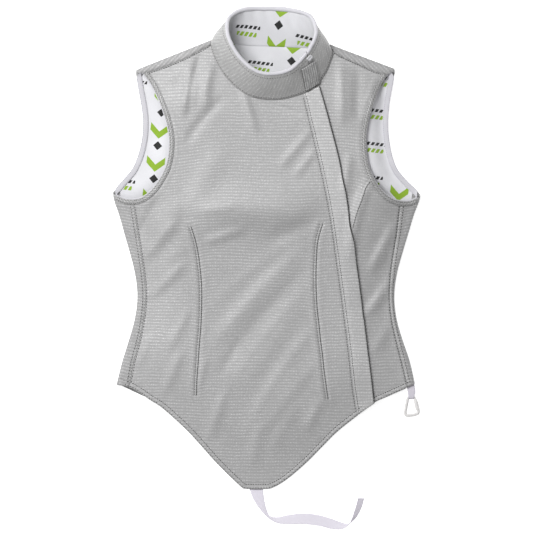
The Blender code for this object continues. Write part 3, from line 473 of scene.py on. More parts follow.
def distance_to(path: Array, x: Array, y: Array) -> Array:
    """How far each place lies from a polyline, seen from above.

    Args:
        path: the polyline's points.
        x: places across the pattern.
        y: places up the pattern.

    Returns:
        The distance of each place.
    """
    places = np.column_stack([np.ravel(x), np.ravel(y)])
    nearest = np.full(len(places), 1e9)
    for start, end in zip(path[:-1], path[1:]):
        step = end - start
        share = np.clip(((places - start) @ step) / max(step @ step, 1e-9), 0, 1)
        gap = np.linalg.norm(places - start - share[:, None] * step, axis=1)
        nearest = np.minimum(nearest, gap)
    return nearest.reshape(np.shape(x))


@lru_cache
def seam_lines() -> dict[str, Array]:
    """The sewn lines that draw the front's cloth in, as polylines on the pattern."""
    heights = np.linspace(-178.0, 103.0, 60)
    lines = {"placket": line_at(PLACKET, "sewn", np.linspace(-222.0, 262.0, 60)), "hem": smooth_path(HEM, 8.0)}
    for half in HALVES:
        lines[f"{half.name}_side"] = line_at(BODY, f"{half.name}_seam", heights)
        lines[f"{half.name}_shoulder"] = smooth_path(half.shoulder, 8.0)
        lines[f"{half.name}_armhole"] = smooth_path([*half.front, *half.pit[1:]], 8.0)
    lines.update({name: smooth_path(dart, 6.0) for name, dart in DARTS.items()})
    return lines


def from_side(x: Array, y: Array) -> Array:
    """How far each place lies in from the nearer side of the body."""
    return np.minimum(x - column(BODY, "left_edge", y), column(BODY, "right_edge", y) - x)


def front_height(x: Any, y: Any) -> Array:
    """Height of the front's middle surface: puffed up from the folds and hem round it, and creased.

    Args:
        x: places across the pattern.
        y: places up the pattern.

    Returns:
        The height of the front's middle over the table at each place.
    """
    x, y = np.asarray(x, float), np.asarray(y, float)
    inwards = from_side(x, y)
    above_hem = y - hem_line(x)
    puff = swell(inwards, SIDE_REACH) * swell(fold_line(x) - y, SHOULDER_REACH)
    puff = puff * (0.25 + 0.75 * swell(above_hem, HEM_REACH))
    folds = sum(ridge(fold, x, y) for fold in FOLDS)
    calm = swell(inwards, 14.0) * swell(above_hem, 12.0)
    creases = sum(ridge(crease, x, y) for crease in FRONT_CREASES)
    return column(LOFT, "edge", y) + column(LOFT, "rise", y) * puff + folds + creases * calm


def sewn_relief(x: Array, y: Array) -> Array:
    """How far the sewing draws the front's cloth in, and how far it springs back beside the seams.

    Args:
        x: places across the pattern.
        y: places up the pattern.

    Returns:
        The height that the sewing adds at each place.
    """
    gaps = {name: distance_to(line, x, y) for name, line in seam_lines().items()}
    relief = np.zeros(len(x))
    for name in ("left_side", "right_side", "left_shoulder", "right_shoulder"):
        relief += 0.3 * bump(gaps[name] - 3.6, 2.2) - 0.35 * bump(gaps[name], 1.3)
    for name, depth in (("left_dart", 0.9), ("right_dart", 0.9), ("bust_dart", 0.4)):
        gap = gaps[name]
        relief += depth * (0.9 * bump(gap, 1.1) - 0.6 * bump(gap - 1.9, 0.6) + 0.5 * bump(gap - 6.5, 3.2))
    relief += 0.75 * bump(gaps["hem"] - 3.4, 2.4) - 0.85 * bump(gaps["hem"] - 7.2, 1.2)
    relief -= 0.4 * bump(gaps["placket"] - 1.0, 1.2) - 0.2 * bump(gaps["placket"] - 5.0, 2.5)
    for name in ("left_armhole", "right_armhole"):
        relief += 0.5 * bump(gaps[name] - 10.5, 2.6) - 0.4 * bump(gaps[name] - 7.4, 1.0)
    return relief


def normals_of(x: Array, y: Array) -> Array:
    """The upward normals of the front at places of the pattern."""
    step = 1.0
    slope_x = (front_height(x + step, y) - front_height(x - step, y)) / (2 * step)
    slope_y = (front_height(x, y + step) - front_height(x, y - step)) / (2 * step)
    return unit(np.column_stack([-slope_x, -slope_y, np.ones(len(x))]))


def on_front(points: Any, offset: Any = 0.0) -> Array:
    """Places of the pattern lifted onto the front, an offset along its normal.

    Args:
        points: the places, each with its X and Y.
        offset: how far out from the front, for all or for each.

    Returns:
        The points in space.
    """
    x, y = np.asarray(points, float).T
    rise = np.broadcast_to(np.asarray(offset, float), x.shape)[:, None]
    return np.column_stack([x, y, front_height(x, y)]) + rise * normals_of(x, y)


def back_rise(x: Array, y: Array) -> Array:
    """How far the creases lift the back off the table."""
    calm = swell(from_side(x, y) - 8.0, 14.0) * swell(fold_line(x) - y - 12.0, 14.0)
    return sum(ridge(crease, x, y) for crease in BACK_CREASES) * calm


def back_hem(x: Any) -> Any:
    """Height on the pattern of the back's own hem, which the front hides."""
    half = BODY[2].right_edge
    return BODY[2].y - BACK_HEM_DROP * (1 - (np.abs(x) / half) ** 2)


def side_fold(y: Array, side: int) -> Array:
    """X of the line where the back starts to turn over, on one side."""
    return column(BODY, "left_edge" if side < 0 else "right_edge", y) - side * FOLD_RADIUS


def shoulder_fold(x: Array) -> Array:
    """Y of the line where the back starts to turn over at the shoulders."""
    return fold_line(x) - FOLD_RADIUS


def unfold_side(points: Any, side: int) -> Array:
    """Where places of the turned-over side lie on the back's flat pattern."""
    points = np.array(points, float)
    fold = side_fold(points[:, 1], side)
    points[:, 0] = fold + side * FOLD_ARC + (fold - points[:, 0])
    return points


def unfold_shoulder(points: Any) -> Array:
    """Where places of the turned-over shoulder lie on the back's flat pattern."""
    points = np.array(points, float)
    fold = shoulder_fold(points[:, 0])
    points[:, 1] = fold + FOLD_ARC + (fold - points[:, 1])
    return points


def fold_back(points: Array) -> Array:
    """The back's flat pattern folded into place round both sides and over both shoulders.

    Args:
        points: the flat pattern.

    Returns:
        The points in space, of the layer on the table and of the strips over it.
    """
    x, y = points.T
    placed = np.column_stack([points, SHELL_WALL / 2 + back_rise(x, y)])

    def turn_over(past: Array, fold: Array, axis: int, way: int) -> None:
        """Turn over what lies past a fold, along one axis of the pattern."""
        turn = np.clip(past, 0, FOLD_ARC) / FOLD_RADIUS
        out = FOLD_RADIUS * np.sin(turn) - np.maximum(past - FOLD_ARC, 0)
        moved = past > 0
        placed[moved, axis] = (fold + way * out)[moved]
        placed[moved, 2] = SHELL_WALL / 2 + FOLD_RADIUS * (1 - np.cos(turn[moved]))

    for side in (-1, 1):
        fold = side_fold(y, side)
        turn_over(np.where(y < STRIP_TOP, side * (x - fold), -1.0), fold, 0, side)
    fold = shoulder_fold(x)
    turn_over(np.where(in_neck(x), -1.0, y - fold), fold, 1, 1)
    over = placed[:, 2] > FOLD_TOP - 0.01
    x, y = placed[over, 0], placed[over, 1]
    placed[over, 2] = front_height(x, y) + sewn_relief(x, y)
    return placed


def inside(points: Array, outline: Array) -> Array:
    """Which points lie inside an outline.

    Args:
        points: the points to test.
        outline: the corners of a closed outline.

    Returns:
        True for each point inside.
    """
    x, y = points[:, 0], points[:, 1]
    hit = np.zeros(len(points), bool)
    for (x0, y0), (x1, y1) in zip(outline, np.roll(outline, -1, axis=0)):
        if y0 == y1:
            continue
        crosses = (y0 > y) != (y1 > y)
        hit ^= crosses & (x < x0 + (y - y0) * (x1 - x0) / (y1 - y0))
    return hit


def near(points: Array, others: Array, reach: float) -> Array:
    """Which points lie within a reach of any of the others.

    Args:
        points: the points to test.
        others: what they may lie near.
        reach: how near.

    Returns:
        True for each point that lies near.
    """
    hit = np.zeros(len(points), bool)
    for start in range(0, len(others), 64):
        gaps = np.linalg.norm(points[:, None] - others[None, start : start + 64], axis=2)
        hit |= gaps.min(axis=1) < reach
    return hit


def meshed(outline: Any, spacing: float, rows: Iterable[Array] = ()) -> Shape:
    """A flat mesh of an outline.

    Args:
        outline: the cut edge, as points in order.
        spacing: how far apart the points between are.
        rows: lines of joined points that the mesh keeps, such as along a dart.

    Returns:
        Its points, and its faces as indices of them.
    """
    outline = np.asarray(outline, float)
    low = outline.min(axis=0)
    high = outline.max(axis=0)
    edges = [(index, (index + 1) % len(outline)) for index in range(len(outline))]
    across = np.arange(low[0] + spacing / 4, high[0], spacing)
    up = np.arange(low[1] + spacing / 2, high[1], spacing * 0.87)
    grid_x, grid_y = np.meshgrid(across, up)
    grid_x = grid_x + spacing / 2 * (np.arange(len(up)) % 2)[:, None]
    grid = np.column_stack([grid_x.ravel(), grid_y.ravel()])
    kept = outline
    for row in rows:
        row = row[inside(row, outline)]
        row = row[~near(row, outline, 0.9)]
        edges += [(len(kept) + index, len(kept) + index + 1) for index in range(len(row) - 1)]
        kept = np.vstack([kept, row])
    grid = grid[inside(grid, outline)]
    grid = grid[~near(grid, kept, 0.55 * spacing)]
    flat = np.vstack([kept, grid])
    made = delaunay_2d_cdt([Vector(point) for point in flat], edges, [], 1, 1e-5)
    return np.array([tuple(point) for point in made[0]]), [tuple(face) for face in made[2]]


def beside(path: Array, side: int) -> Array:
    """Unit steps square to a path: to its left with side 1, to its right with side -1."""
    ahead = unit(np.gradient(path, axis=0))
    return side * np.column_stack([-ahead[:, 1], ahead[:, 0]])


def along_table(table: Sequence[Any], name: str, from_y: float, to_y: float, spacing: float = 5.0) -> Array:
    """A column of a table from one height to another, as points about a spacing apart.

    Args:
        table: rows that have a `y` and the named column.
        name: the column, which gives X.
        from_y: where the line starts.
        to_y: where it ends.
        spacing: how far apart its points are.

    Returns:
        The line's points.
    """
    count = max(2, round(abs(to_y - from_y) / spacing) + 1)
    return line_at(table, name, np.linspace(from_y, to_y, count))


def chained(*parts: Array) -> Array:
    """Parts of an outline in one, with points that carry it over the fold between each two."""
    joined = [parts[0]]
    for before, after in zip(parts, parts[1:]):
        joined += [np.linspace(before[-1], after[0], 10)[1:-1], after]
    return np.vstack(joined)


def reckoned(operation: str) -> Callable[..., "Signal"]:
    """A signal's method that adds a Math node, with the signal itself as its first value."""
    return lambda signal, *others: signal.wires.math(operation, signal, *others)


@dataclass(frozen=True)
class Signal:
    """A node's output that can be reckoned with, each sum being a Math node."""

    wires: "Wires"
    socket: bpy.types.NodeSocket

    __add__ = reckoned("ADD")
    __sub__ = reckoned("SUBTRACT")
    __mul__ = reckoned("MULTIPLY")
    __truediv__ = reckoned("DIVIDE")
    __lt__ = reckoned("LESS_THAN")
    __abs__ = reckoned("ABSOLUTE")
    fract = reckoned("FRACT")

    def wave(self) -> "Signal":
        """Its sine, one wave for each whole number."""
        return self.wires.math("SINE", self * (2 * np.pi))

    def step(self, low: float, high: float) -> "Signal":
        """0 under a low value, 1 over a high one and smooth between."""
        node = self.wires.add("ShaderNodeMapRange", interpolation_type="SMOOTHSTEP")
        self.wires.feed(node.inputs["Value"], self)
        self.wires.preset(node, {"From Min": low, "From Max": high})
        return Signal(self.wires, node.outputs["Result"])


@dataclass(frozen=True)
class Wires:
    """Short hands for wiring a node tree."""

    tree: bpy.types.NodeTree

    def add(self, kind: str, **settings: Any) -> bpy.types.Node:
        """Add a node with its settings."""
        node = self.tree.nodes.new(kind)
        for name, value in settings.items():
            setattr(node, name, value)
        return node

    def feed(self, socket: bpy.types.NodeSocket, value: Any) -> None:
        """Link a signal into a socket, or set it to a plain value."""
        if isinstance(value, Signal):
            self.tree.links.new(value.socket, socket)
        else:
            socket.default_value = value

    def preset(self, node: bpy.types.Node, values: dict[str, Any]) -> None:
        """Set a node's own sockets to plain values."""
        for name, value in values.items():
            node.inputs[name].default_value = value

    def math(self, operation: str, *values: Any) -> Signal:
        """Add a Math node and give back its result."""
        node = self.add("ShaderNodeMath", operation=operation)
        for socket, value in zip(node.inputs, values):
            self.feed(socket, value)
        return Signal(self, node.outputs[0])

    def split(self, vector: Signal) -> list[Signal]:
        """The three parts of a vector."""
        node = self.add("ShaderNodeSeparateXYZ")
        self.feed(node.inputs[0], vector)
        return [Signal(self, socket) for socket in node.outputs]

    def blend(self, share: Any, first: Any, second: Any) -> Signal:
        """Mix two colours by a share of the second."""
        node = self.add("ShaderNodeMix", data_type="RGBA")
        for index, value in ((0, share), (6, first), (7, second)):
            self.feed(node.inputs[index], value)
        return Signal(self, node.outputs[2])

    def noise(self, place: Any, scale: float, detail: float = 2.0) -> Signal:
        """Soft noise from 0 to 1, with its scale in waves a metre."""
        node = self.add("ShaderNodeTexNoise")
        self.feed(node.inputs["Vector"], place)
        self.preset(node, {"Scale": scale, "Detail": detail})
        return Signal(self, node.outputs["Fac"])

    def stretched(self, place: Any, scale: tuple[float, float, float], turn: float = 0.0) -> Signal:
        """A place turned about Z, then stretched along each axis."""
        node = self.add("ShaderNodeMapping", vector_type="POINT")
        self.feed(node.inputs["Vector"], place)
        self.preset(node, {"Rotation": (0.0, 0.0, turn), "Scale": scale})
        return Signal(self, node.outputs["Vector"])

    def streaks(self, place: Any, across: float, up: float, detail: float = 2.0, turn: float = 0.0) -> Signal:
        """Noise stretched to streaks, with so many waves a metre each way."""
        return self.noise(self.stretched(place, (across, up, 1.0), turn), 1.0, detail)

    def group(self, tree: bpy.types.NodeTree, place: Signal, values: dict[str, float]) -> dict[str, Signal]:
        """Put a group in at a place with its own values, and give back its outputs by name."""
        node = self.add("ShaderNodeGroup")
        node.node_tree = tree
        self.feed(node.inputs["Place"], place)
        self.preset(node, values)
        return {socket.name: Signal(self, socket) for socket in node.outputs}

    def object_place(self) -> Signal:
        """Places on a piece in metres, from its own object."""
        return Signal(self, self.add("ShaderNodeTexCoord").outputs["Object"])


class GroupShell:
    """An empty shader node group with named inputs and number outputs."""

    def __init__(self, name: str, inputs: dict[str, Any], outputs: Sequence[str]) -> None:
        """Make the group.

        Args:
            name: the group's name.
            inputs: each input's default value by name: a number, a vector, or None for a place.
            outputs: the outputs' names.
        """
        self.tree = bpy.data.node_groups.new(name, "ShaderNodeTree")
        for label, value in inputs.items():
            kind = "NodeSocketFloat" if isinstance(value, float) else "NodeSocketVector"
            socket = self.tree.interface.new_socket(name=label, in_out="INPUT", socket_type=kind)
            if value is not None:
                socket.default_value = value
        for label in outputs:
            self.tree.interface.new_socket(name=label, in_out="OUTPUT", socket_type="NodeSocketFloat")
        self.wires = Wires(self.tree)
        given = self.wires.add("NodeGroupInput").outputs
        self.given = {label: Signal(self.wires, given[label]) for label in inputs}
        self.out = self.wires.add("NodeGroupOutput").inputs

    def put(self, label: str, value: Signal) -> None:
        """Link a signal to an output."""
        self.wires.feed(self.out[label], value)


@lru_cache
def ribbed_weave() -> bpy.types.NodeTree:
    """The lame's cross ribs: its tone and its height, from places along the cloth in metres."""
    inputs = {"Place": None, "Pitch": 0.0044, "Rib": 0.5, "Glint": 0.3, "Streak": 0.0}
    shell = GroupShell("ribbed_weave", inputs, ("Tone", "Height"))
    w, given = shell.wires, shell.given
    place = given["Place"]
    across, up, _ = w.split(place)
    wander = (w.noise(place, 36.0) - 0.5) * 0.0034 + (w.noise(place, 260.0) - 0.5) * 0.0006
    ribs = ((up + wander) / given["Pitch"]).wave() * 0.5 + 0.5
    worn = w.noise(place, 24.0).step(0.3, 0.7) * 0.5 + 0.55
    rib = ribs * worn * given["Rib"]
    floats = (across / FLOAT_PITCH + w.streaks(place, 60.0, 220.0) * FLOAT_SWAY).wave()
    spark = floats.step(-0.5, 0.7) * ribs.step(0.45, 0.95)
    glint = spark * w.noise(place, 120.0, 3.0).step(0.30, 0.66) * given["Glint"]
    threads = w.streaks(place, 520.0, 1500.0, 3.0)
    crease_streaks = (w.streaks(place, 90.0, 420.0, 2.0, 0.9) - 0.5) * given["Streak"]
    mottle = (w.noise(place, 330.0, 4.0) - 0.5) * 0.44
    shell.put("Tone", rib + glint + threads * 0.28 + crease_streaks + mottle)
    shell.put("Height", rib * 1.2 + threads * 0.35 + spark * 0.25)
    return shell.tree


@lru_cache
def plain_weave() -> bpy.types.NodeTree:
    """A fine plain weave: its tone and its height, from places along the cloth in metres."""
    shell = GroupShell("plain_weave", {"Place": None, "Pitch": 0.0008}, ("Tone", "Height"))
    w, given = shell.wires, shell.given
    warp, weft = ((way / given["Pitch"]).wave() for way in w.split(given["Place"])[:2])
    cross = warp * weft * 0.5 + 0.5
    cloud = w.noise(given["Place"], 34.0, 4.0)
    shell.put("Tone", (cloud - 0.5) * 0.9 + cross * 0.5)
    shell.put("Height", cross * 0.5 + cloud * 0.6)
    return shell.tree


@dataclass(frozen=True)
class ChevronPrint:
    """The lining's print: columns of lime chevrons with black lozenges, and columns of slanted dashes.

    Its sizes are in metres on the cloth.
    """

    repeat: tuple[float, float, float] = (0.046, 0.050, 1.0)
    arm: float = 0.0055
    arm_slope: float = 0.9
    chevron_rise: float = 0.004
    chevron_half: float = 0.0138
    lozenge_drop: float = 0.0120
    lozenge_half: float = 0.0068
    dash_pitch: float = 0.0068
    dash_share: float = 0.66
    black_row: tuple[float, float, float] = (0.0045, 0.0024, 0.0190)
    lime_row: tuple[float, float, float] = (-0.0055, 0.0031, 0.0150)

    @lru_cache
    def group(self) -> bpy.types.NodeTree:
        """The print's node group: where its lime and its black lie."""
        shell = GroupShell("chevron_print", {"Place": None, "Repeat": self.repeat}, ("Lime", "Black"))
        w, given = shell.wires, shell.given
        cells = w.add("ShaderNodeVectorMath", operation="DIVIDE")
        w.feed(cells.inputs[0], given["Place"])
        w.feed(cells.inputs[1], given["Repeat"])
        across, up, _ = w.split(Signal(w, cells.outputs[0]))
        wide, tall, _ = w.split(given["Repeat"])
        along = across + 0.5
        odd = w.math("MODULO", abs(w.math("FLOOR", along)), 2.0)
        even = w.math("SUBTRACT", 1.0, odd)
        x = (along.fract() - 0.5) * wide
        y = ((up + odd * 0.5).fract() - 0.5) * tall
        reach = abs(x)
        arm = abs(y - self.chevron_rise - reach * self.arm_slope)
        chevron = (arm < self.arm) * (reach < self.chevron_half)
        lozenge = reach + abs(y + self.lozenge_drop) < self.lozenge_half
        cut = ((x - y * 0.5) / self.dash_pitch).fract() < self.dash_share
        for label, mark, (middle, high, half) in (
            ("Lime", chevron, self.lime_row), ("Black", lozenge, self.black_row),
        ):
            row = (abs(y - middle) < high) * (reach < half) * cut
            shell.put(label, mark * even + row * odd)
        return shell.tree


class Pattern(Enum):
    """What a cloth shows on its face."""

    RIBBED = "ribbed"
    PLAIN = "plain"
    PRINTED = "printed"


@dataclass(frozen=True)
class Finish:
    """A surface finish that becomes one material."""

    name: str
    dark: Color
    light: Color
    roughness: float
    metallic: float = 0.0
    sheen: float = 0.0
    relief: float = 0.0004
    specular: float = 0.5

    def material(self) -> bpy.types.Material:
        """This finish's material, made once."""
        found = bpy.data.materials.get(self.name)
        if found:
            return found
        made = bpy.data.materials.new(self.name)
        made.use_nodes = True
        made.diffuse_color = (*self.light, 1.0)
        shader = made.node_tree.nodes["Principled BSDF"]
        wires = Wires(made.node_tree)
        wires.preset(shader, {
            "Roughness": self.roughness, "Metallic": self.metallic, "Sheen Weight": self.sheen,
            "Specular IOR Level": self.specular,
        })
        self.dress(wires, shader)
        return made

    def dress(self, w: Wires, shader: bpy.types.Node) -> None:
        """Give the shader what changes over the surface."""
        raise NotImplementedError

    def tinted(self, w: Wires, share: Signal) -> Signal:
        """The finish's colour between its dark and its light."""
        return w.blend(share, (*self.dark, 1.0), (*self.light, 1.0))

    def bumped(self, w: Wires, shader: bpy.types.Node, height: Signal) -> None:
        """Raise the shader's surface by a height."""
        lift = w.add("ShaderNodeBump")
        w.preset(lift, {"Strength": 1.0, "Distance": self.relief})
        w.feed(lift.inputs["Height"], height)
        w.feed(shader.inputs["Normal"], Signal(w, lift.outputs[0]))


@dataclass(frozen=True)
class ClothFinish(Finish):
    """Woven cloth, placed by its pattern's map and perhaps printed."""

    pattern: Pattern = Pattern.PLAIN
    pitch: float = 0.0008
    rib: float = 0.5
    glint: float = 0.3
    streak: float = 0.0

    def dress(self, w: Wires, shader: bpy.types.Node) -> None:
        """Weave the cloth, print it and roughen its darker threads."""
        place = Signal(w, w.add("ShaderNodeUVMap", uv_map="pattern").outputs[0])
        if self.pattern is Pattern.RIBBED:
            values = {"Pitch": self.pitch, "Rib": self.rib, "Glint": self.glint, "Streak": self.streak}
            weave = w.group(ribbed_weave(), place, values)
        else:
            weave = w.group(plain_weave(), place, {"Pitch": self.pitch})
        color = self.tinted(w, weave["Tone"].step(0.0, 1.0))
        if self.pattern is Pattern.PRINTED:
            color = self.printed(w, place, color)
        w.feed(shader.inputs["Base Color"], color)
        w.feed(shader.inputs["Roughness"], (weave["Tone"] - 0.5) * -0.16 + self.roughness)
        self.bumped(w, shader, weave["Height"])

    def printed(self, w: Wires, place: Signal, ground: Signal) -> Signal:
        """Lay the lining's print over its ground colour."""
        motif = w.group(ChevronPrint().group(), w.stretched(place, (1.0, 1.0, 1.0), PRINT_TILT), {})
        faded = w.noise(place, 160.0, 3.0) * 0.02 + 0.98
        lime = w.blend(motif["Lime"] * faded, ground, (*PRINT_LIME, 1.0))
        return w.blend(motif["Black"] * faded, lime, (*PRINT_BLACK, 1.0))


@dataclass(frozen=True)
class ThreadFinish(Finish):
    """Sewing thread, twisted along each stitch."""

    relief: float = 0.0001

    def dress(self, w: Wires, shader: bpy.types.Node) -> None:
        """Twist the thread."""
        ply = w.noise(w.stretched(w.object_place(), (900.0, 900.0, 900.0), 0.6), 1.0)
        w.feed(shader.inputs["Base Color"], self.tinted(w, ply))
        self.bumped(w, shader, ply)


@dataclass(frozen=True)
class PlasticFinish(Finish):
    """Moulded plastic with a faint orange-peel skin, scuffed where it rubs."""

    relief: float = 0.00005
    clear: float = 0.0

    def dress(self, w: Wires, shader: bpy.types.Node) -> None:
        """Cloud, scuff and dimple the plastic."""
        place = w.object_place()
        scuff = w.noise(w.stretched(place, (900.0, 260.0, 500.0), 0.4), 1.0, 4.0).step(0.5, 0.8)
        w.feed(shader.inputs["Base Color"], self.tinted(w, w.noise(place, 140.0, 3.0)))
        w.feed(shader.inputs["Roughness"], scuff * 0.25 + self.roughness)
        w.preset(shader, {"Transmission Weight": self.clear})
        self.bumped(w, shader, w.noise(place, 700.0))


def greys(dark: float, light: float) -> tuple[Color, Color]:
    """The lame's dark and light threads: greys with a breath less green."""
    return (dark, dark - 0.001, dark), (light, light - 0.002, light + 0.002)


def lame(name: str, tones: tuple[Color, Color], roughness: float, **weave: Any) -> ClothFinish:
    """One cut of the grey lame."""
    given = {"pitch": 0.0047, **weave}
    return ClothFinish(name, *tones, roughness, 0.24, 0.15, pattern=Pattern.RIBBED, **given)


def white_cloth(name: str, dark: Color, light: Color, roughness: float, **weave: Any) -> ClothFinish:
    """A white cloth of fine plain weave."""
    return ClothFinish(name, dark, light, roughness, sheen=0.2, **{"relief": 0.00012, **weave})


FLOAT_PITCH = 0.0039  # metres between the bright floats along a rib
FLOAT_SWAY = 9.0 / (2 * np.pi)
PRINT_TILT = 0.12
PRINT_LIME = (0.205, 0.345, 0.012)
PRINT_BLACK = (0.003, 0.003, 0.003)

LAME = lame("lame_cloth", greys(0.275, 0.61), 0.56, rib=0.175, glint=0.24)
LAME_BACK = lame("lame_back_cloth", greys(0.245, 0.55), 0.56, rib=0.20, glint=0.26)
LAME_COLLAR = lame(
    "lame_collar", ((0.32, 0.319, 0.318), (0.655, 0.653, 0.65)), 0.52, relief=0.0005, pitch=0.0046, rib=0.10,
    streak=0.6,
)
LAME_FLAP = lame("lame_flap", greys(0.30, 0.66), 0.54, rib=0.20, glint=0.22)
LAME_BIAS = lame("lame_bias", ((0.22, 0.22, 0.22), (0.56, 0.558, 0.56)), 0.54, pitch=0.0034, rib=0.25)
LAME_TAB = lame(
    "lame_tab", ((0.20, 0.20, 0.20), (0.66, 0.658, 0.66)), 0.52, relief=0.0007, pitch=0.0036, rib=0.42,
    glint=0.2, streak=0.6,
)
LINING = white_cloth("white_lining", (0.57, 0.57, 0.595), (0.70, 0.70, 0.72), 0.78, pattern=Pattern.PRINTED)
# The collar's lining is the lining a shade darker: painted shade inside the collar.
SHADED_COLLAR_LINING = replace(LINING, name="collar_lining_painted_shade", dark=(0.53, 0.53, 0.555), light=(0.66, 0.66, 0.685))
TRIM = white_cloth("white_trim", (0.46, 0.455, 0.485), (0.58, 0.575, 0.61), 0.6, pitch=0.0009)
ELASTIC = white_cloth(
    "elastic_webbing", (0.60, 0.575, 0.64), (0.70, 0.675, 0.735), 0.72, relief=0.00022, pitch=0.0011,
    specular=0.2,
)
# The hook's loop is the elastic a shade darker: painted shade under the hem.
SHADED_LOOP_WEBBING = replace(ELASTIC, name="loop_webbing_painted_shade", dark=(0.47, 0.45, 0.50), light=(0.57, 0.55, 0.60))
# Near-black thread, also used for the painted shadow lines along the placket's free edge, the tab's edges and
# the darts' shaded sides.
DARK_THREAD_AND_SHADE = ThreadFinish("dark_thread_and_painted_shade", (0.010, 0.010, 0.009), (0.032, 0.032, 0.029), 0.8)
GREY_THREAD = ThreadFinish("grey_thread", (0.018, 0.017, 0.016), (0.060, 0.058, 0.053), 0.75)
# Light beads beside the side seams: a painted highlight along each seam.
SEAM_HIGHLIGHT_THREAD = ThreadFinish("painted_seam_highlight", (0.50, 0.50, 0.49), (0.66, 0.66, 0.65), 0.5)
# Grey thread for the facings: their seam lines, and at the inner edge partly a painted shadow line.
FACING_THREAD_AND_SHADE = ThreadFinish("facing_thread_and_painted_shade", (0.28, 0.275, 0.32), (0.40, 0.39, 0.44), 0.6)
HOOK_PLASTIC = PlasticFinish("hook_plastic", (0.58, 0.57, 0.565), (0.66, 0.65, 0.645), 0.6, clear=0.05)
ZIP_PLASTIC = PlasticFinish("zip_plastic", (0.46, 0.46, 0.48), (0.58, 0.58, 0.60), 0.4)


def turned_out(mesh: bpy.types.Mesh, merged: float = 0.0) -> bpy.types.Mesh:
    """Turn a mesh's faces one way, with its doubles within a reach merged first."""
    shape = bmesh.new()
    shape.from_mesh(mesh)
    if merged:
        bmesh.ops.remove_doubles(shape, verts=shape.verts, dist=merged)
    bmesh.ops.recalc_face_normals(shape, faces=shape.faces)
    shape.to_mesh(mesh)
    shape.free()
    return mesh


def mesh_from(name: str, points: Array, faces: Iterable[Sequence[int]]) -> bpy.types.Mesh:
    """A mesh from points in millimetres and their faces, turned one way."""
    mesh = bpy.data.meshes.new(name)
    mesh.from_pydata((points * MM).tolist(), [], [tuple(map(int, face)) for face in faces])
    return turned_out(mesh)


def linked(name: str, data: Any) -> Piece:
    """Put something into the scene under its name."""
    made = bpy.data.objects.new(name, data)
    bpy.context.scene.collection.objects.link(made)
    return made


def piece_of(name: str, mesh: bpy.types.Mesh, finish: Finish) -> Piece:
    """Put a mesh into the scene as a smooth piece with its finish."""
    mesh.materials.clear()
    mesh.materials.append(finish.material())
    mesh.shade_smooth()
    return linked(name, mesh)


def cloth_piece(
    name: str, points: Array, faces: Any, pattern: Array, wall: float, finish: Finish,
    strip: tuple[Array, Array] | None = None,
) -> Piece:
    """A cloth piece: a middle surface in millimetres with a wall, and its pattern's map in metres.

    Args:
        name: the piece's name.
        points: the middle surface's points.
        faces: its faces, as indices of the points.
        pattern: where each point lies on the cut cloth, in millimetres.
        wall: the cloth's thickness.
        finish: its finish.
        strip: which faces lie on a turned-over strip, and where each point lies on its grain.

    Returns:
        The piece.
    """
    mesh = mesh_from(name, points, faces)
    if sum(face.normal.z * face.area for face in mesh.polygons) < 0:
        mesh.flip_normals()
    uv = mesh.uv_layers.new(name="pattern")
    corners = np.empty(len(mesh.loops), np.int32)
    mesh.loops.foreach_get("vertex_index", corners)
    places = pattern[corners]
    if strip is not None:
        on_strip = np.repeat(strip[0], [len(face) for face in faces])
        places = np.where(on_strip[:, None], strip[1][corners], places)
    uv.data.foreach_set("uv", (places * MM).astype(np.float32).ravel())
    made = piece_of(name, mesh, finish)
    shell = made.modifiers.new("Wall", "SOLIDIFY")
    shell.thickness = wall * MM
    shell.offset = 0.0
    edge = made.modifiers.new("Edge", "BEVEL")
    edge.width = wall * MM * 0.28
    edge.segments = 1
    edge.limit_method = "ANGLE"
    edge.angle_limit = np.radians(50)
    return made


class Cut(NamedTuple):
    """A sheet's cut, in millimetres and square millimetres."""

    width: float
    length: float
    area: float


def cut_of(flat: Array, faces: list[tuple[int, ...]]) -> Cut:
    """The cut of a flat mesh of triangles.

    Args:
        flat: its points.
        faces: its faces, as indices of the points.

    Returns:
        Its width, length and area.
    """
    corners = flat[np.array([face[:3] for face in faces])]
    first = corners[:, 1] - corners[:, 0]
    second = corners[:, 2] - corners[:, 0]
    area = np.abs(first[:, 0] * second[:, 1] - first[:, 1] * second[:, 0]).sum() / 2
    return Cut(*map(float, flat.max(axis=0) - flat.min(axis=0)), float(area))


def run_of(stack: Array, axis: int) -> Array:
    """How far each line or point of a lattice lies from the first, on the whole, along one axis."""
    steps = np.linalg.norm(np.diff(stack, axis=axis), axis=2).mean(axis=1 - axis)
    return np.concatenate([[0], np.cumsum(steps)])


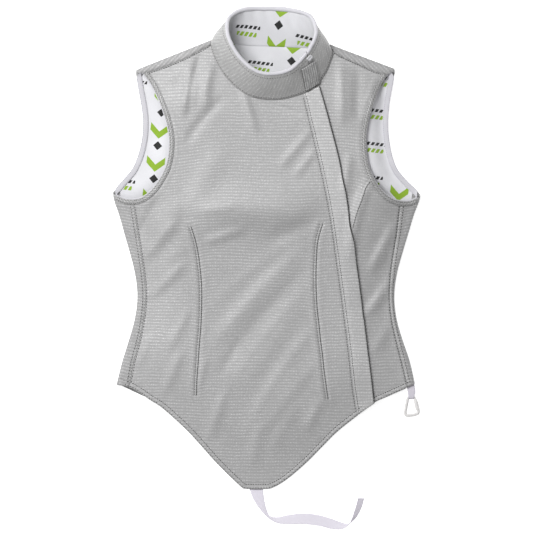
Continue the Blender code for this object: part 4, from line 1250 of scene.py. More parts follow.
def lattice_piece(
    name: str, lines: Sequence[Array], wall: float, finish: Finish, closed: bool = False, turn: float = 0.0,
    level: bool = False,
) -> tuple[Piece, Cut]:
    """A cloth piece through lines of equally many points, with its cut.

    Args:
        name: the piece's name.
        lines: the lines, from one edge of the cloth to the other.
        wall: the cloth's thickness.
        finish: its finish.
        closed: whether each line joins up with its own start.
        turn: how far the pattern is turned on the cloth, in radians.
        level: whether the pattern lies level instead, whichever way the lines run.

    Returns:
        The piece and its cut.
    """
    stack = np.array(lines)
    rows, count = stack.shape[:2]
    loop = np.concatenate([stack, stack[:, :1]], axis=1) if closed else stack
    along, aside = run_of(loop, 1), run_of(stack, 0)
    u, v = (axis.ravel() for axis in np.meshgrid(along[:count], aside))
    pattern = np.column_stack([u * np.cos(turn) - v * np.sin(turn), u * np.sin(turn) + v * np.cos(turn)])
    pattern = stack[..., :2].reshape(-1, 2) if level else pattern
    index = np.arange(rows * count).reshape(rows, count)
    following = np.roll(index, -1, axis=1)
    reach = count if closed else count - 1
    corners = (index[:-1], following[:-1], following[1:], index[1:])
    faces = np.stack([corner[:, :reach].ravel() for corner in corners], axis=1)
    made = cloth_piece(name, stack.reshape(-1, 3), faces, pattern, wall, finish)
    quads = loop[:-1, :-1], loop[:-1, 1:], loop[1:, 1:], loop[1:, :-1]
    area = 0.5 * np.linalg.norm(np.cross(quads[2] - quads[0], quads[3] - quads[1]), axis=2).sum()
    return made, Cut(float(aside[-1]), float(along[-1]), float(area))


def ribbon_lines(first: Array, last: Array, count: int, crown: float = 0.0) -> list[Array]:
    """Lines between two edges of a ribbon, crowned upwards across its middle."""
    shares = np.linspace(0, 1, count)
    lift = np.array([0.0, 0.0, crown])
    return [first * (1 - share) + last * share + lift * np.sin(np.pi * share) for share in shares]


def shape_of(shape: bmesh.types.BMesh) -> Shape:
    """A bmesh's points and faces, for copying many times over."""
    shape.verts.index_update()
    points = np.array([vert.co[:] for vert in shape.verts])
    faces = [tuple(vert.index for vert in face.verts) for face in shape.faces]
    shape.free()
    return points, faces


@dataclass(frozen=True)
class Stitch:
    """One sewn stitch, in millimetres."""

    length: float = 2.6
    gap: float = 1.0
    radius: float = 0.42
    sides: int = 5

    def shape(self) -> Shape:
        """The stitch along X: a short bar with rounded, dipping ends."""
        shape = bmesh.new()
        end = self.radius * 0.5
        bmesh.ops.create_cone(
            shape, cap_ends=True, segments=self.sides, radius1=end, radius2=end, depth=self.length,
        )
        long_edges = [edge for edge in shape.edges if abs(edge.verts[0].co.z - edge.verts[1].co.z) > 1]
        bmesh.ops.subdivide_edges(shape, edges=long_edges, cuts=2)
        for vert in shape.verts:
            middle = abs(vert.co.z) < self.length * 0.4
            vert.co.xy *= 2.0 if middle else 1.0
            vert.co.x += 0.0 if middle else -self.radius * 0.7
        points, faces = shape_of(shape)
        return points[:, ::-1], faces


def repeated(base: Shape, centres: Array, aheads: Array, ups: Array) -> Shape:
    """Copies of a small shape, each with its X ahead and its Z up.

    Args:
        base: the shape's points and faces.
        centres: where each copy stands.
        aheads: each copy's X.
        ups: each copy's rough Z.

    Returns:
        The points and faces of all the copies.
    """
    points, faces = base
    aheads = unit(aheads)
    asides = unit(np.cross(ups, aheads))
    ups = np.cross(aheads, asides)
    frames = np.stack([aheads, asides, ups], axis=1)
    placed = centres[:, None] + np.einsum("pk,nkd->npd", points, frames)
    starts = range(0, len(centres) * len(points), len(points))
    return placed.reshape(-1, 3), [tuple(start + index for index in face) for start in starts for face in faces]


def along_path(path: Array, spacing: float) -> tuple[Array, Array]:
    """Centres and headings evenly spread along a path in space."""
    placed = resampled(path, spacing)
    middles = (placed[:-1] + placed[1:]) / 2
    return middles, np.diff(placed, axis=0)


def joined(name: str, shapes: Sequence[Shape], finish: Finish) -> Piece:
    """Many small shapes in one piece."""
    starts = np.cumsum([0, *(len(points) for points, _ in shapes)])
    faces = [[start + index for index in face] for start, (_, own) in zip(starts, shapes) for face in own]
    return piece_of(name, mesh_from(name, np.vstack([points for points, _ in shapes]), faces), finish)


@dataclass(frozen=True)
class Seam:
    """A row of stitches along a path in space, with its ups and its stitch."""

    path: Array
    up: Array
    stitch: Stitch = Stitch()

    def made(self) -> Shape:
        """The row's points and faces."""
        centres, aheads = along_path(self.path, self.stitch.length + self.stitch.gap)
        share = np.linspace(0, 1, len(self.up))
        stops = np.linspace(0, 1, len(centres))
        ups = np.column_stack([np.interp(stops, share, self.up[:, axis]) for axis in range(3)])
        return repeated(self.stitch.shape(), centres, aheads, ups)


def sewn(name: str, seams: Sequence[Seam], finish: Finish, slot: str = "lame") -> None:
    """Join rows of stitches into one piece, beside the solids."""
    dressed(joined(name, [seam.made() for seam in seams], finish))


def seam_on_front(path: Array, offset: Any, stitch: Stitch = Stitch()) -> Seam:
    """A row of stitches at an offset over the front's middle surface."""
    return Seam(on_front(path, offset), normals_of(*path.T), stitch)


def front_seam(path: Array, stitch: Stitch = Stitch(), seat: Any = STITCH_SEAT) -> Seam:
    """A row of stitches on the front, which follows the relief of its sewing."""
    return seam_on_front(path, seat + 0.15 + np.maximum(sewn_relief(*path.T), -0.2), stitch)


def swept(
    name: str, path: Array, radii: Array, finish: Finish, closed: bool = False, sides: int = 6,
) -> Piece:
    """A round bar along a path, made by a bevelled curve.

    Args:
        name: the piece's name.
        path: the points of its middle, in millimetres.
        radii: its radius at each point.
        finish: its finish.
        closed: whether it joins up with its own start.
        sides: the bevel's resolution.

    Returns:
        The piece.
    """
    curve = bpy.data.curves.new(name, "CURVE")
    curve.dimensions = "3D"
    curve.bevel_depth = 1.0
    curve.bevel_resolution = sides
    curve.use_fill_caps = not closed
    line = curve.splines.new("POLY")
    line.points.add(len(path) - 1)
    for point, place, radius in zip(line.points, path * MM, radii * MM):
        point.co = (*place, 1.0)
        point.radius = radius
    line.use_cyclic_u = closed
    holder = linked(name + "_curve", curve)
    graph = bpy.context.evaluated_depsgraph_get()
    mesh = bpy.data.meshes.new_from_object(holder.evaluated_get(graph))
    bpy.data.objects.remove(holder)
    bpy.data.curves.remove(curve)
    return piece_of(name, turned_out(mesh, 1e-6), finish)


def dressed(piece: Piece, node: str = "", body: str = "garment") -> Piece:
    """Let a piece ride on its body, and stand for a solid if it names one.

    Args:
        piece: the piece.
        node: the solid that it replaces, if any.
        body: the body that carries it.

    Returns:
        The piece.
    """
    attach(piece, body)
    if node:
        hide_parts(node)
    LOG.info("%s stands for %s, %d faces", piece.name, node or "no solid", len(piece.data.polygons))
    return piece


@dataclass
class Ledger:
    """The sheets of cloth with their cuts, and the narrow trims that go with them."""

    cuts: list[tuple[Piece, Cut, list[str]]]
    trims: dict[str, list[Piece]]

    def lay(self, made: tuple[Piece, Cut], node: str, slot: str, *rests_on: str) -> None:
        """Let a sheet of cloth stand for its solid, and note its cut and what it lies on.

        Args:
            made: the sheet and its cut.
            node: the solid that it replaces.
            slot: the slot of its finish; not used.
            rests_on: the names of the pieces under it.
        """
        self.cuts.append((dressed(made[0], node), made[1], list(rests_on)))

    def trim(self, made: tuple[Piece, Cut], node: str, sheet: str) -> None:
        """Let a narrow piece stand for its solid, and note the sheet that it is sewn to."""
        self.trims.setdefault(sheet, []).append(dressed(made[0], node))


LEDGER = Ledger([], {})


@dataclass(frozen=True)
class BackCloth:
    """The back, cut in one with the strips that turn over the sides and shoulders."""

    spacing: float = 4.2
    fold_rows: int = 9
    strip_grain: float = 0.20
    shoulder_slant: float = 47.0
    hem_lift: float = 5.0

    def half_outline(self, half: Half) -> list[Array]:
        """One half's cut edge from the hem's strip up to the neck, in parts between the folds."""
        strip = along_table(BODY, f"{half.name}_seam", -177.5, half.seam_top) + (half.side * SEAM_GAP, 0)
        pit = unfold_side(smooth_path(half.pit, 3.5), half.side)[1:]
        return [
            np.vstack([unfold_side(strip, half.side), pit]),
            smooth_path(half.back, 4.0),
            np.vstack([
                unfold_shoulder(half.tip[:-1]),
                unfold_shoulder(smooth_path(half.shoulder, 4.5) + (0, SHOULDER_GAP)),
            ]),
        ]

    def outline(self) -> Array:
        """The cut edge of the back's flat pattern."""
        hem_y = BODY[2].y
        across = np.linspace(side_fold(hem_y, -1), side_fold(hem_y, 1), 90)
        low = np.array([(x, back_hem(x)) for x in across])
        low[:, 1] += self.hem_lift * np.clip((low[:, 0] - 150.0) / 73.0, 0, 1) ** 3
        neck = [(-79.5, 337.2), (-40.0, 336.4), (0.0, 336.8), (38.0, 333.6), (72.0, 328.0), (91.5, 325.0)]
        left = self.half_outline(LEFT)
        right = [part[::-1] for part in self.half_outline(RIGHT)[::-1]]
        return chained(*left, smooth_path(neck, 5.0), *right, low[::-1], left[0])[: -len(left[0])]

    def rows(self) -> list[Array]:
        """Lines of points along the folds, so that they turn over smoothly."""
        rows = []
        for share in np.linspace(0, 1, self.fold_rows):
            for side in (-1, 1):
                heights = np.linspace(-170.0, 106.0, 70)
                rows.append(np.column_stack([side_fold(heights, side) + side * share * FOLD_ARC, heights]))
            for start, end in ((-190.0, -85.0), (97.0, 187.0)):
                x = np.linspace(start, end, 28)
                rows.append(np.column_stack([x, shoulder_fold(x) + share * FOLD_ARC]))
        return rows

    def pattern(self, flat: Array) -> Array:
        """Where each point lies on the cloth, with the grain tilted on the turned-over sides."""
        cloth = flat.copy()
        x, y = flat.T
        for side in (-1, 1):
            past = np.where(y < STRIP_TOP, np.maximum(side * (x - side_fold(y, side)), 0), 0)
            cloth[:, 1] += self.strip_grain * np.maximum(past - FOLD_ARC, 0)
        return cloth

    def shoulder_strips(self, flat: Array, faces: list[tuple[int, ...]], placed: Array) -> tuple[Array, Array]:
        """Which faces lie on the turned-over shoulders, and where each point lies on their slanting grain.

        Args:
            flat: the flat pattern's points.
            faces: its faces.
            placed: the same points folded into place.

        Returns:
            For each face whether it lies there, and the place of each point on the strips.
        """
        x, y = np.array([flat[list(face)].mean(axis=0) for face in faces]).T
        on_strip = (y > shoulder_fold(x) + 0.2) & ~in_neck(x)
        slant = np.sign(placed[:, 0]) * np.radians(self.shoulder_slant)
        across = placed[:, 0] * np.cos(slant) - placed[:, 1] * np.sin(slant)
        up = placed[:, 0] * np.sin(slant) + placed[:, 1] * np.cos(slant)
        return on_strip, np.column_stack([across, up])

    def build(self) -> None:
        """Make the back and let it stand for its solid."""
        flat, faces = meshed(self.outline(), self.spacing, self.rows())
        placed = fold_back(flat)
        strips = self.shoulder_strips(flat, faces, placed)
        piece = cloth_piece("back_cloth", placed, faces, self.pattern(flat), SHELL_WALL, LAME_BACK, strips)
        LEDGER.lay((piece, cut_of(flat, faces)), "back_panel", "lame", "table")


def zip_line(from_y: float, to_y: float, aside: float) -> Array:
    """A line along the zip under the placket, so far to one side of its middle."""
    return along_table(PLACKET, "free", from_y, to_y) - (ZIP_SET_IN - aside, 0)


def hem_between(from_x: float, to_x: float) -> Array:
    """The front's hem from one X to a greater one."""
    path = smooth_path(HEM, 3.6)
    middle = path[(path[:, 0] > from_x + 2) & (path[:, 0] < to_x - 2)]
    return np.vstack([(from_x, hem_line(from_x)), middle, (to_x, hem_line(to_x))])


def ring_point(ring: Array, turn: Any) -> Array:
    """Points of a smooth closed curve through a ring of points, at shares of a whole turn.

    Args:
        ring: the given points.
        turn: the shares of a turn.

    Returns:
        A point of the curve for each share.
    """
    place = np.mod(turn, 1.0) * len(ring)
    index = np.floor(place).astype(int) % len(ring)
    t = (place - np.floor(place))[:, None]
    return spline(*(ring[(index + step) % len(ring)] for step in (-1, 0, 1, 2)), t)


def neck_edge(from_turn: float, to_turn: float) -> Array:
    """The cut edge of the front a little outside the collar's foot, seen from above.

    Args:
        from_turn: where it starts, as a share of the way round the collar.
        to_turn: where it ends.

    Returns:
        The edge's points.
    """
    foot = np.array([(row.foot_x, row.foot_y) for row in COLLAR])
    turns = np.linspace(from_turn, to_turn, max(3, round(abs(to_turn - from_turn) * 130) + 1))
    path = ring_point(foot, turns)
    ahead = unit(ring_point(foot, turns + 0.004) - path)
    return path + np.column_stack([ahead[:, 1], -ahead[:, 0]])


@dataclass(frozen=True)
class FrontCloths:
    """The two fronts: the large one of the wearer's right side and the narrow one beyond the zip."""

    spacing: float = 3.4
    dart_asides: tuple[float, ...] = (-2.7, -1.9, -1.1, -0.4, 0.4, 1.1, 1.9, 2.7)
    take_up: tuple[tuple[str, float], ...] = (("left_dart", 2.2), ("right_dart", 2.2), ("bust_dart", 3.0))

    def right_outline(self) -> Array:
        """The cut edge of the large front."""
        seam_x = float(column(BODY, "left_seam", -178.5))
        return np.vstack([
            hem_between(seam_x, float(column(PLACKET, "free", -212.0)) - ZIP_SET_IN - ZIP_HALF_GAP)[1:],
            zip_line(-198.0, 262.0, -ZIP_HALF_GAP)[1:],
            neck_edge(0.004, 0.408),
            smooth_path(LEFT.shoulder, 4.5)[-2::-1] - (0, SHOULDER_GAP),
            smooth_path(LEFT.front, 4.0)[1:-1],
            along_table(BODY, "left_seam", LEFT.seam_top, -179.0) + (SEAM_GAP, 0),
        ])

    def left_outline(self) -> Array:
        """The cut edge of the narrow front."""
        seam_x = float(column(BODY, "right_seam", -178.0))
        return np.vstack([
            hem_between(float(column(PLACKET, "free", -206.0)) - ZIP_SET_IN + ZIP_HALF_GAP, seam_x)[:-1],
            along_table(BODY, "right_seam", -178.0, RIGHT.seam_top) - (SEAM_GAP, 0),
            smooth_path(RIGHT.front, 4.0)[-2:0:-1],
            smooth_path(RIGHT.shoulder, 4.5) - (0, SHOULDER_GAP),
            neck_edge(0.875, 0.994)[1:],
            zip_line(262.0, -192.0, ZIP_HALF_GAP),
        ])

    def dart_rows(self, name: str) -> list[Array]:
        """Lines of points along a dart's ridge and grooves."""
        path = smooth_path(DARTS[name], 3.0)
        return [path + aside * beside(path, 1) for aside in self.dart_asides]

    def pattern(self, flat: Array) -> Array:
        """Where each point lies on the cloth: the darts take up a little, so the ribs dip beside them."""
        cloth = flat.copy()
        x, y = flat.T
        for line, depth in self.take_up:
            cloth[:, 1] += depth * bump(distance_to(seam_lines()[line], x, y), 9.0)
        cloth[:, 1] += 2.0 * np.sin(x / 75.0) + 1.2 * np.sin(x / 31.0 + y / 90.0)
        cloth[:, 1] += 15.0 * swell(-x - 30.0, 95.0) * bump(y - 165.0, 90.0)
        cloth[:, 1] += 9.0 * swell(x - 90.0, 70.0) * bump(y - 120.0, 90.0)
        return cloth

    def one(self, side: str, outline: Array, *darts: str) -> None:
        """Make one front from its cut edge and the darts in it.

        Args:
            side: the wearer's side that it covers.
            outline: its cut edge.
            darts: the names of the darts in it.
        """
        flat, faces = meshed(outline, self.spacing, [row for dart in darts for row in self.dart_rows(dart)])
        points = on_front(flat)
        points[:, 2] += sewn_relief(*flat.T)
        piece = cloth_piece(f"front_{side}_cloth", points, faces, self.pattern(flat), SHELL_WALL, LAME)
        LEDGER.lay((piece, cut_of(flat, faces)), f"front_{side}_panel", "lame", "back_lining_cloth")

    def build(self) -> None:
        """Make both fronts."""
        self.one("right", self.right_outline(), "left_dart", "right_dart")
        self.one("left", self.left_outline(), "bust_dart")


@dataclass(frozen=True)
class BackLining:
    """The white printed lining over the inside of the back."""

    spacing: float = 7.0
    rest: float = SHELL_WALL + LAYER_GAP + LINING_WALL / 2
    shoulder_gap: float = 3.0
    armhole_gap: float = 1.8
    armhole_lift: tuple[tuple[str, float], ...] = (("left_armhole", 0.35), ("right_armhole", 1.0))

    def half_outline(self, half: Half, shoulder_x: Array) -> Array:
        """One half's cut edge from the hem up to the neck."""
        edge = along_table(BODY, f"{half.name}_edge", -168.0, half.seam_top - 8.0, 8.0)
        back = smooth_path(half.back[:-1], 6.0)[2:]
        return np.vstack([
            edge[1:-1] - (half.side * (FOLD_RADIUS + 3), 0),
            back - (half.side * self.armhole_gap, 0),
            np.column_stack([shoulder_x, shoulder_fold(shoulder_x) - self.shoulder_gap]),
        ])

    def build(self) -> None:
        """Make the lining and let it stand for its solid."""
        neck = [(-76.0, 335.8), (-40.0, 336.4), (0.0, 336.8), (38.0, 333.6), (72.0, 327.8), (88.0, 323.8)]
        low = np.array([(x, back_hem(x) + 6.0) for x in np.linspace(-205.0, 205.0, 60)])
        outline = np.vstack([
            self.half_outline(LEFT, np.linspace(-185.0, -84.0, 14)), smooth_path(neck, 6.0),
            self.half_outline(RIGHT, np.linspace(184.0, 95.0, 13))[::-1], low[::-1],
        ])
        flat, faces = meshed(outline, self.spacing)
        x, y = flat.T
        height = self.rest + back_rise(x, y)
        drape = sum(ridge(fold, x, y) for fold in LINING_FOLDS)
        slack = (drape + self.billow(x, y, height)) * self.beyond_facings(x, y)
        points = np.column_stack([flat, height + slack])
        piece = cloth_piece("back_lining_cloth", points, faces, flat, LINING_WALL, LINING)
        LEDGER.lay((piece, cut_of(flat, faces)), "back_lining", "lining", "back_cloth")

    def beyond_facings(self, x: Array, y: Array) -> Array:
        """0 where the facings hold the lining down on the back, 1 away from them."""
        gaps = [distance_to(smooth_path(half.back, 8.0), x, y) - FACING_WIDTH - 1.0 for half in HALVES]
        return np.prod([swell(gap, 9.0) for gap in gaps], axis=0)

    def billow(self, x: Array, y: Array, height: Array) -> Array:
        """How far the lining stands up towards the fronts' edges inside the armholes.

        Args:
            x: places across the pattern.
            y: places up the pattern.
            height: how high the lining lies there.

        Returns:
            The lift at each place.
        """
        room = np.maximum(front_height(x, y) - height - 5.0, 0)
        lift = np.zeros(len(x))
        for name, share in self.armhole_lift:
            lift += share * bump(np.maximum(distance_to(seam_lines()[name], x, y) - 4.0, 0), 19.0)
        lift = lift * room * swell(y - 100.0, 30.0) * swell(292.0 - y, 24.0)
        return lift * swell(from_side(x, y) - 6.0, 10.0)


@dataclass(frozen=True)
class Placket:
    """The folded strip that covers the zip, stitched down along its inner edge."""

    steps: int = 170
    columns: int = 13
    crown: float = 0.35
    offset: float = SHELL_WALL / 2 + FLAP_SEAT + FLAP_WALL / 2
    sewn_ends: tuple[float, float] = (-220.6, 261.6)
    free_ends: tuple[float, float] = (-203.2, 272.8)
    stitch_share: float = 0.09

    def edge(self, share: float) -> Array:
        """A line along the flap, from its stitched edge at 0 to its free edge at 1."""
        heights = np.linspace(0, 1, self.steps)
        stitched, free = (
            line_at(PLACKET, name, low + heights * (high - low))
            for name, (low, high) in (("sewn", self.sewn_ends), ("free", self.free_ends))
        )
        return stitched * (1 - share) + free * share

    def line(self, share: float) -> Array:
        """The same line on the front, pulled down at its stitches and sprung up at its free edge."""
        path = self.edge(share)
        pull = -0.35 * bump((share - 0.13) * 26.0, 1.4) - 0.6 * (1 - share) ** 8
        spring = (1.9 + 0.3 * np.sin(path[:, 1] / 37.0)) * share**2
        return on_front(path, self.offset + self.crown * np.sin(np.pi * share) + pull + spring)

    def build(self) -> None:
        """Make the flap with its three rows of stitches; the dark, close row along its free edge is partly a
        painted shadow line.
        """
        lines = [self.line(share) for share in np.linspace(0, 1, self.columns)]
        made = lattice_piece("placket_cloth", lines, FLAP_WALL, LAME_FLAP, level=True)
        LEDGER.lay(made, "placket_flap", "lame", "front_right_cloth", "front_left_cloth")
        top = self.offset + FLAP_WALL / 2 - 0.1
        aside = resampled(self.edge(0.0), 3.0) - (2.2, 0)
        aside = aside[(aside[:, 1] < 256) & (aside[:, 1] > -214)]
        free = resampled(self.edge(1.0), 3.0) + (0.35, 0)
        sewn("placket_stitches_and_shadow_line", [
            seam_on_front(resampled(self.edge(self.stitch_share), 3.0), top),
            front_seam(aside, seat=SHELL_WALL / 2),
            # Along the free edge: dark stitches set close and thick, partly real stitching and partly a painted
            # shadow line under the raised edge.
            seam_on_front(free, top + 1.5, Stitch(2.8, 0.3, 0.72)),
        ], DARK_THREAD_AND_SHADE)


@dataclass(frozen=True)
class Zip:
    """The closed zip under the placket: its woven tape and its coil."""

    tooth: float = 1.5
    pitch: float = 2.4
    rounding: float = 0.3

    def tooth_shape(self) -> Shape:
        """One bevelled tooth, with X along the zip."""
        shape = bmesh.new()
        bmesh.ops.create_cube(shape, size=1.0)
        size = (self.tooth, COIL_WIDTH / 2 + 0.3, COIL_WALL)
        bmesh.ops.scale(shape, verts=shape.verts, vec=size)
        bmesh.ops.bevel(
            shape, geom=shape.edges[:], offset=self.rounding, segments=1, affect="EDGES", profile=0.5,
            material=-1,
        )
        return shape_of(shape)

    def build(self) -> None:
        """Make the tape and the coil's teeth."""
        asides = np.linspace(-TAPE_HALF, TAPE_HALF, 9)
        sides = [on_front(zip_line(-192.0, 250.0, aside), -LINING_DROP) for aside in asides]
        made = lattice_piece("zip_tape_cloth", sides, LINING_WALL * 0.8, ELASTIC)
        LEDGER.lay(made, "zip_tape", "elastic", "back_lining_cloth")
        offset = -LINING_DROP + LINING_WALL / 2 + LAYER_GAP + COIL_WALL / 2
        teeth = []
        for aside, shift in ((-COIL_WIDTH / 4, 0.0), (COIL_WIDTH / 4, self.pitch / 2)):
            centres, aheads = along_path(on_front(zip_line(-190.0, 250.0, aside), offset), self.pitch)
            ups = np.tile((0.0, 0.0, 1.0), (len(centres), 1))
            teeth.append(repeated(self.tooth_shape(), centres + (0.0, shift, 0.0), aheads, ups))
        dressed(joined("zip_coil_teeth", teeth, ZIP_PLASTIC), "zip_coil")


@lru_cache
def collar_rings() -> tuple[Array, Array]:
    """The collar's foot, seated on the front and the back, and its top."""
    foot = np.array([(row.foot_x, row.foot_y, row.seat) for row in COLLAR])
    height = on_front(foot[:, :2], SHELL_WALL + FLAP_SEAT)[:, 2]
    foot[:, 2] = BACK_SEAT + foot[:, 2] * (height - BACK_SEAT)
    return foot, np.array([(row.top_x, row.top_y, row.top_z) for row in COLLAR])


@dataclass(frozen=True)
class CollarForm:
    """The standing collar's form between its foot and its top."""

    reach: float = 0.004
    step: float = 0.002

    def points(self, turn: Array, rise: Any, offset: Any = 0.0) -> Array:
        """Points of the collar.

        Args:
            turn: shares of a turn from the closure.
            rise: shares of the way up.
            offset: how far out from the form.

        Returns:
            The points in space.
        """
        foot_ring, top_ring = collar_rings()
        foot = ring_point(foot_ring, turn)
        top = ring_point(top_ring, turn)
        here = foot * (1 - rise) + top * rise
        ahead = sum(
            (ring_point(ring, turn + self.reach) - ring_point(ring, turn - self.reach)) * weight
            for ring, weight in ((foot_ring, 1 - rise), (top_ring, rise))
        )
        return here + np.reshape(offset, (-1, 1)) * unit(np.cross(top - foot, ahead))

    def outward(self, turn: Array, rise: float) -> Array:
        """The collar's outward normals."""
        return self.points(turn, rise, 1.0) - self.points(turn, rise)

    def under(self, point: Any, offset: float) -> Array:
        """The point of the collar's outside over a place of the pattern.

        Args:
            point: the place, with its X and Y.
            offset: how far out from the collar's form.

        Returns:
            The point in space.
        """
        turn, rise = 0.0, 0.5
        for _ in range(12):
            here = self.points(np.array([turn]), rise)[0]
            by_turn = (self.points(np.array([turn + self.step]), rise)[0] - here)[:2] / self.step
            by_rise = (self.points(np.array([turn]), rise + self.step)[0] - here)[:2] / self.step
            change = np.linalg.solve(np.column_stack([by_turn, by_rise]), np.array(point) - here[:2])
            turn += float(np.clip(change[0], -0.05, 0.05))
            rise += float(np.clip(change[1], -0.3, 0.3))
        return self.points(np.array([turn]), rise, offset)[0]


@dataclass(frozen=True)
class Collar:
    """The standing collar: its outer band, printed lining, rolled binding, tab and slider."""

    form: CollarForm = CollarForm()
    steps: int = 220
    rows: int = 20
    wall_top: float = 0.955
    closure: float = 0.0016
    grain: float = 1.1
    rolled: float = 150.0

    def turns(self) -> Array:
        """Shares of a turn from one side of the closure round to the other."""
        return np.linspace(self.closure, 1 - self.closure, self.steps + 1)

    def swelling(self, turn: Array, rise: Any) -> Array:
        """How the band bulges and buckles between its foot and its top.

        Args:
            turn: shares of a turn from the closure.
            rise: shares of the way up.

        Returns:
            How far out each point lies.
        """
        belly = 0.9 * np.sin(np.pi * rise) * (0.6 + 0.4 * np.cos(2 * np.pi * (turn - 0.2)))
        buckle = 0.5 * np.sin(turn * 57.0 + 3.0 * rise) * np.sin(turn * 23.0 + 1.0)
        seat = 0.35 * bump(rise * 40.0 - 3.0, 2.0)
        roll = 7.0 * bump(turn - 0.435, 0.06) + 5.5 * bump(turn - 0.785, 0.05)
        return belly + buckle * np.sin(np.pi * rise) + roll * np.sin(np.pi * (0.22 + 0.78 * rise)) + seat

    def outer_line(self, share: float) -> Array:
        """A line round the outer band, kept off the table."""
        line = self.form.points(self.turns(), share, self.swelling(self.turns(), share))
        line[:, 2] = np.maximum(line[:, 2], SHELL_WALL / 2 + 0.1)
        return line

    def inner_line(self, share: float) -> Array:
        """A line round the lining, which starts higher and puckers under its top at the back."""
        turns = self.turns()
        rise = share + (0.10 - 0.20 * bump(turns - 0.60, 0.16)) * (1 - share)
        ripple = 0.7 * np.sin(turns * 190.0 + rise * 9.0)
        puckers = ripple * bump((turns - 0.62) * 100.0, 14.0) * bump((rise - 0.8) * 10, 2.2)
        inward = self.swelling(turns, rise) * 0.6 - LINING_DROP + puckers - 0.2
        return self.form.points(turns, rise[:, None], inward)

    def build(self) -> None:
        """Make the collar's pieces."""
        shares = np.linspace(0, self.wall_top, self.rows)
        band = [self.outer_line(share) for share in shares]
        made = lattice_piece("collar_cloth", band, SHELL_WALL, LAME_COLLAR, turn=self.grain)
        LEDGER.lay(made, "collar_outer", "lame", "front_right_cloth", "back_cloth")
        lining = [self.inner_line(share) for share in shares]
        # The lining inside the collar takes a darker copy of the lining's finish, as painted shade.
        made = lattice_piece("collar_lining_cloth", lining, LINING_WALL, SHADED_COLLAR_LINING)
        LEDGER.lay(made, "collar_lining", "lining", "collar_cloth")
        self.build_binding()
        self.build_tab()
        self.build_slider()
        self.build_stitches()

    def build_binding(self) -> None:
        """The bias binding, rolled over the collar's two layers along its top."""
        turns = self.turns()
        path = self.form.points(turns, 1.0, -LINING_DROP / 2)
        out = self.form.outward(turns, 1.0)
        up = unit(self.form.points(turns, 1.0) - self.form.points(turns, 0.9))
        ripple = 0.04 * np.sin(turns * 140.0) + 0.03 * np.sin(turns * 61.0)
        radius = (BINDING_RADIUS * (1 + 0.45 * bump(turns - 0.60, 0.13) + ripple))[:, None]
        angles = np.radians(np.linspace(-self.rolled, self.rolled, 17))
        lines = [path + radius * (np.cos(angle) * up + np.sin(angle) * out) for angle in angles]
        made = lattice_piece("collar_binding_roll", lines, 0.6, TRIM)
        LEDGER.lay(made, "collar_binding", "lining", "collar_cloth")

    def build_tab(self) -> None:
        """The short tab over the collar's closure, at the head of the placket."""
        upper_left, lower_left, lower_right, upper_right = (np.array(corner) for corner in TAB)
        lines = []
        for share in np.linspace(0, 1, 13):
            start = upper_left * (1 - share) + upper_right * share
            end = lower_left * (1 - share) + lower_right * share
            lift = SHELL_WALL / 2 + DRAPE_GAP + FLAP_WALL / 2 + 1.3 + 0.4 * np.sin(np.pi * share)
            downs = np.linspace(0, 1, 22)
            lines.append(np.array([self.form.under(start * (1 - down) + end * down, lift) for down in downs]))
        made = lattice_piece("collar_tab_cloth", lines, FLAP_WALL, LAME_TAB)
        LEDGER.lay(made, "collar_tab", "lame", "collar_cloth")
        up = np.array([0.0, 0.4, 0.9])
        # Dark rows along the tab's left and lower edges, set close and thick: partly real stitching and partly
        # a painted shadow line along those edges.
        edges = (lines[0] + 0.3 * up, np.array([line[-1] for line in lines]) + 0.3 * up)
        rows = [Seam(edge, np.tile(up, (len(edge), 1)), Stitch(2.6, 0.25, 0.72)) for edge in edges]
        sewn("collar_tab_stitches_and_shadow_line", rows, DARK_THREAD_AND_SHADE)

    def build_slider(self) -> None:
        """The zip's slider: a bevelled body with a waist and a bail for its pull."""
        seat = SHELL_WALL / 2 + LAYER_GAP + SLIDER_WALL / 2 + 0.2
        left, low, right, high = (self.form.under(corner, seat) for corner in SLIDER)
        middle = (left + low + right + high) / 4
        ahead = (high + right - left - low) / 2
        aside = (left + high - low - right) / 2
        up = np.cross(aside, ahead)
        up = up / np.linalg.norm(up) * np.sign(up[2])
        shape = bmesh.new()
        bmesh.ops.create_cube(shape, size=1.0)
        bmesh.ops.subdivide_edges(shape, edges=shape.edges[:], cuts=2, use_grid_fill=True)
        for vert in shape.verts:
            x, y, z = vert.co
            z *= 0.72 if abs(x) < 0.2 and abs(z) > 0.4 else 1.0
            vert.co = Vector((middle + ahead * x + aside * y * (1.0 - 0.25 * x) + up * SLIDER_WALL * z) * MM)
        mesh = bpy.data.meshes.new("zip_slider_body")
        shape.to_mesh(mesh)
        shape.free()
        piece = piece_of("zip_slider_body", turned_out(mesh), ZIP_PLASTIC)
        rounded = piece.modifiers.new("Rounded", "SUBSURF")
        rounded.levels = 2
        rounded.render_levels = 2
        dressed(piece, "zip_slider")
        turn = np.linspace(0, np.pi, 14)
        bail = middle + np.outer(np.cos(turn), ahead * 0.36) + np.outer(np.sin(turn) * 1.5 + 0.9, up)
        dressed(swept("zip_slider_bail", bail, np.full(14, 0.45), ZIP_PLASTIC))

    def build_stitches(self) -> None:
        """The rows of stitches along the collar's foot and under its binding."""
        turns = self.turns()[2:-2]
        rows = []
        for rise in (0.06, 0.85):
            face = self.swelling(turns, rise) + SHELL_WALL / 2 + 0.1
            path = self.form.points(turns, rise, face)
            rows.append(Seam(path, self.form.outward(turns, rise), Stitch(2.2, 1.6, 0.40)))
        sewn("collar_stitches", rows, GREY_THREAD)


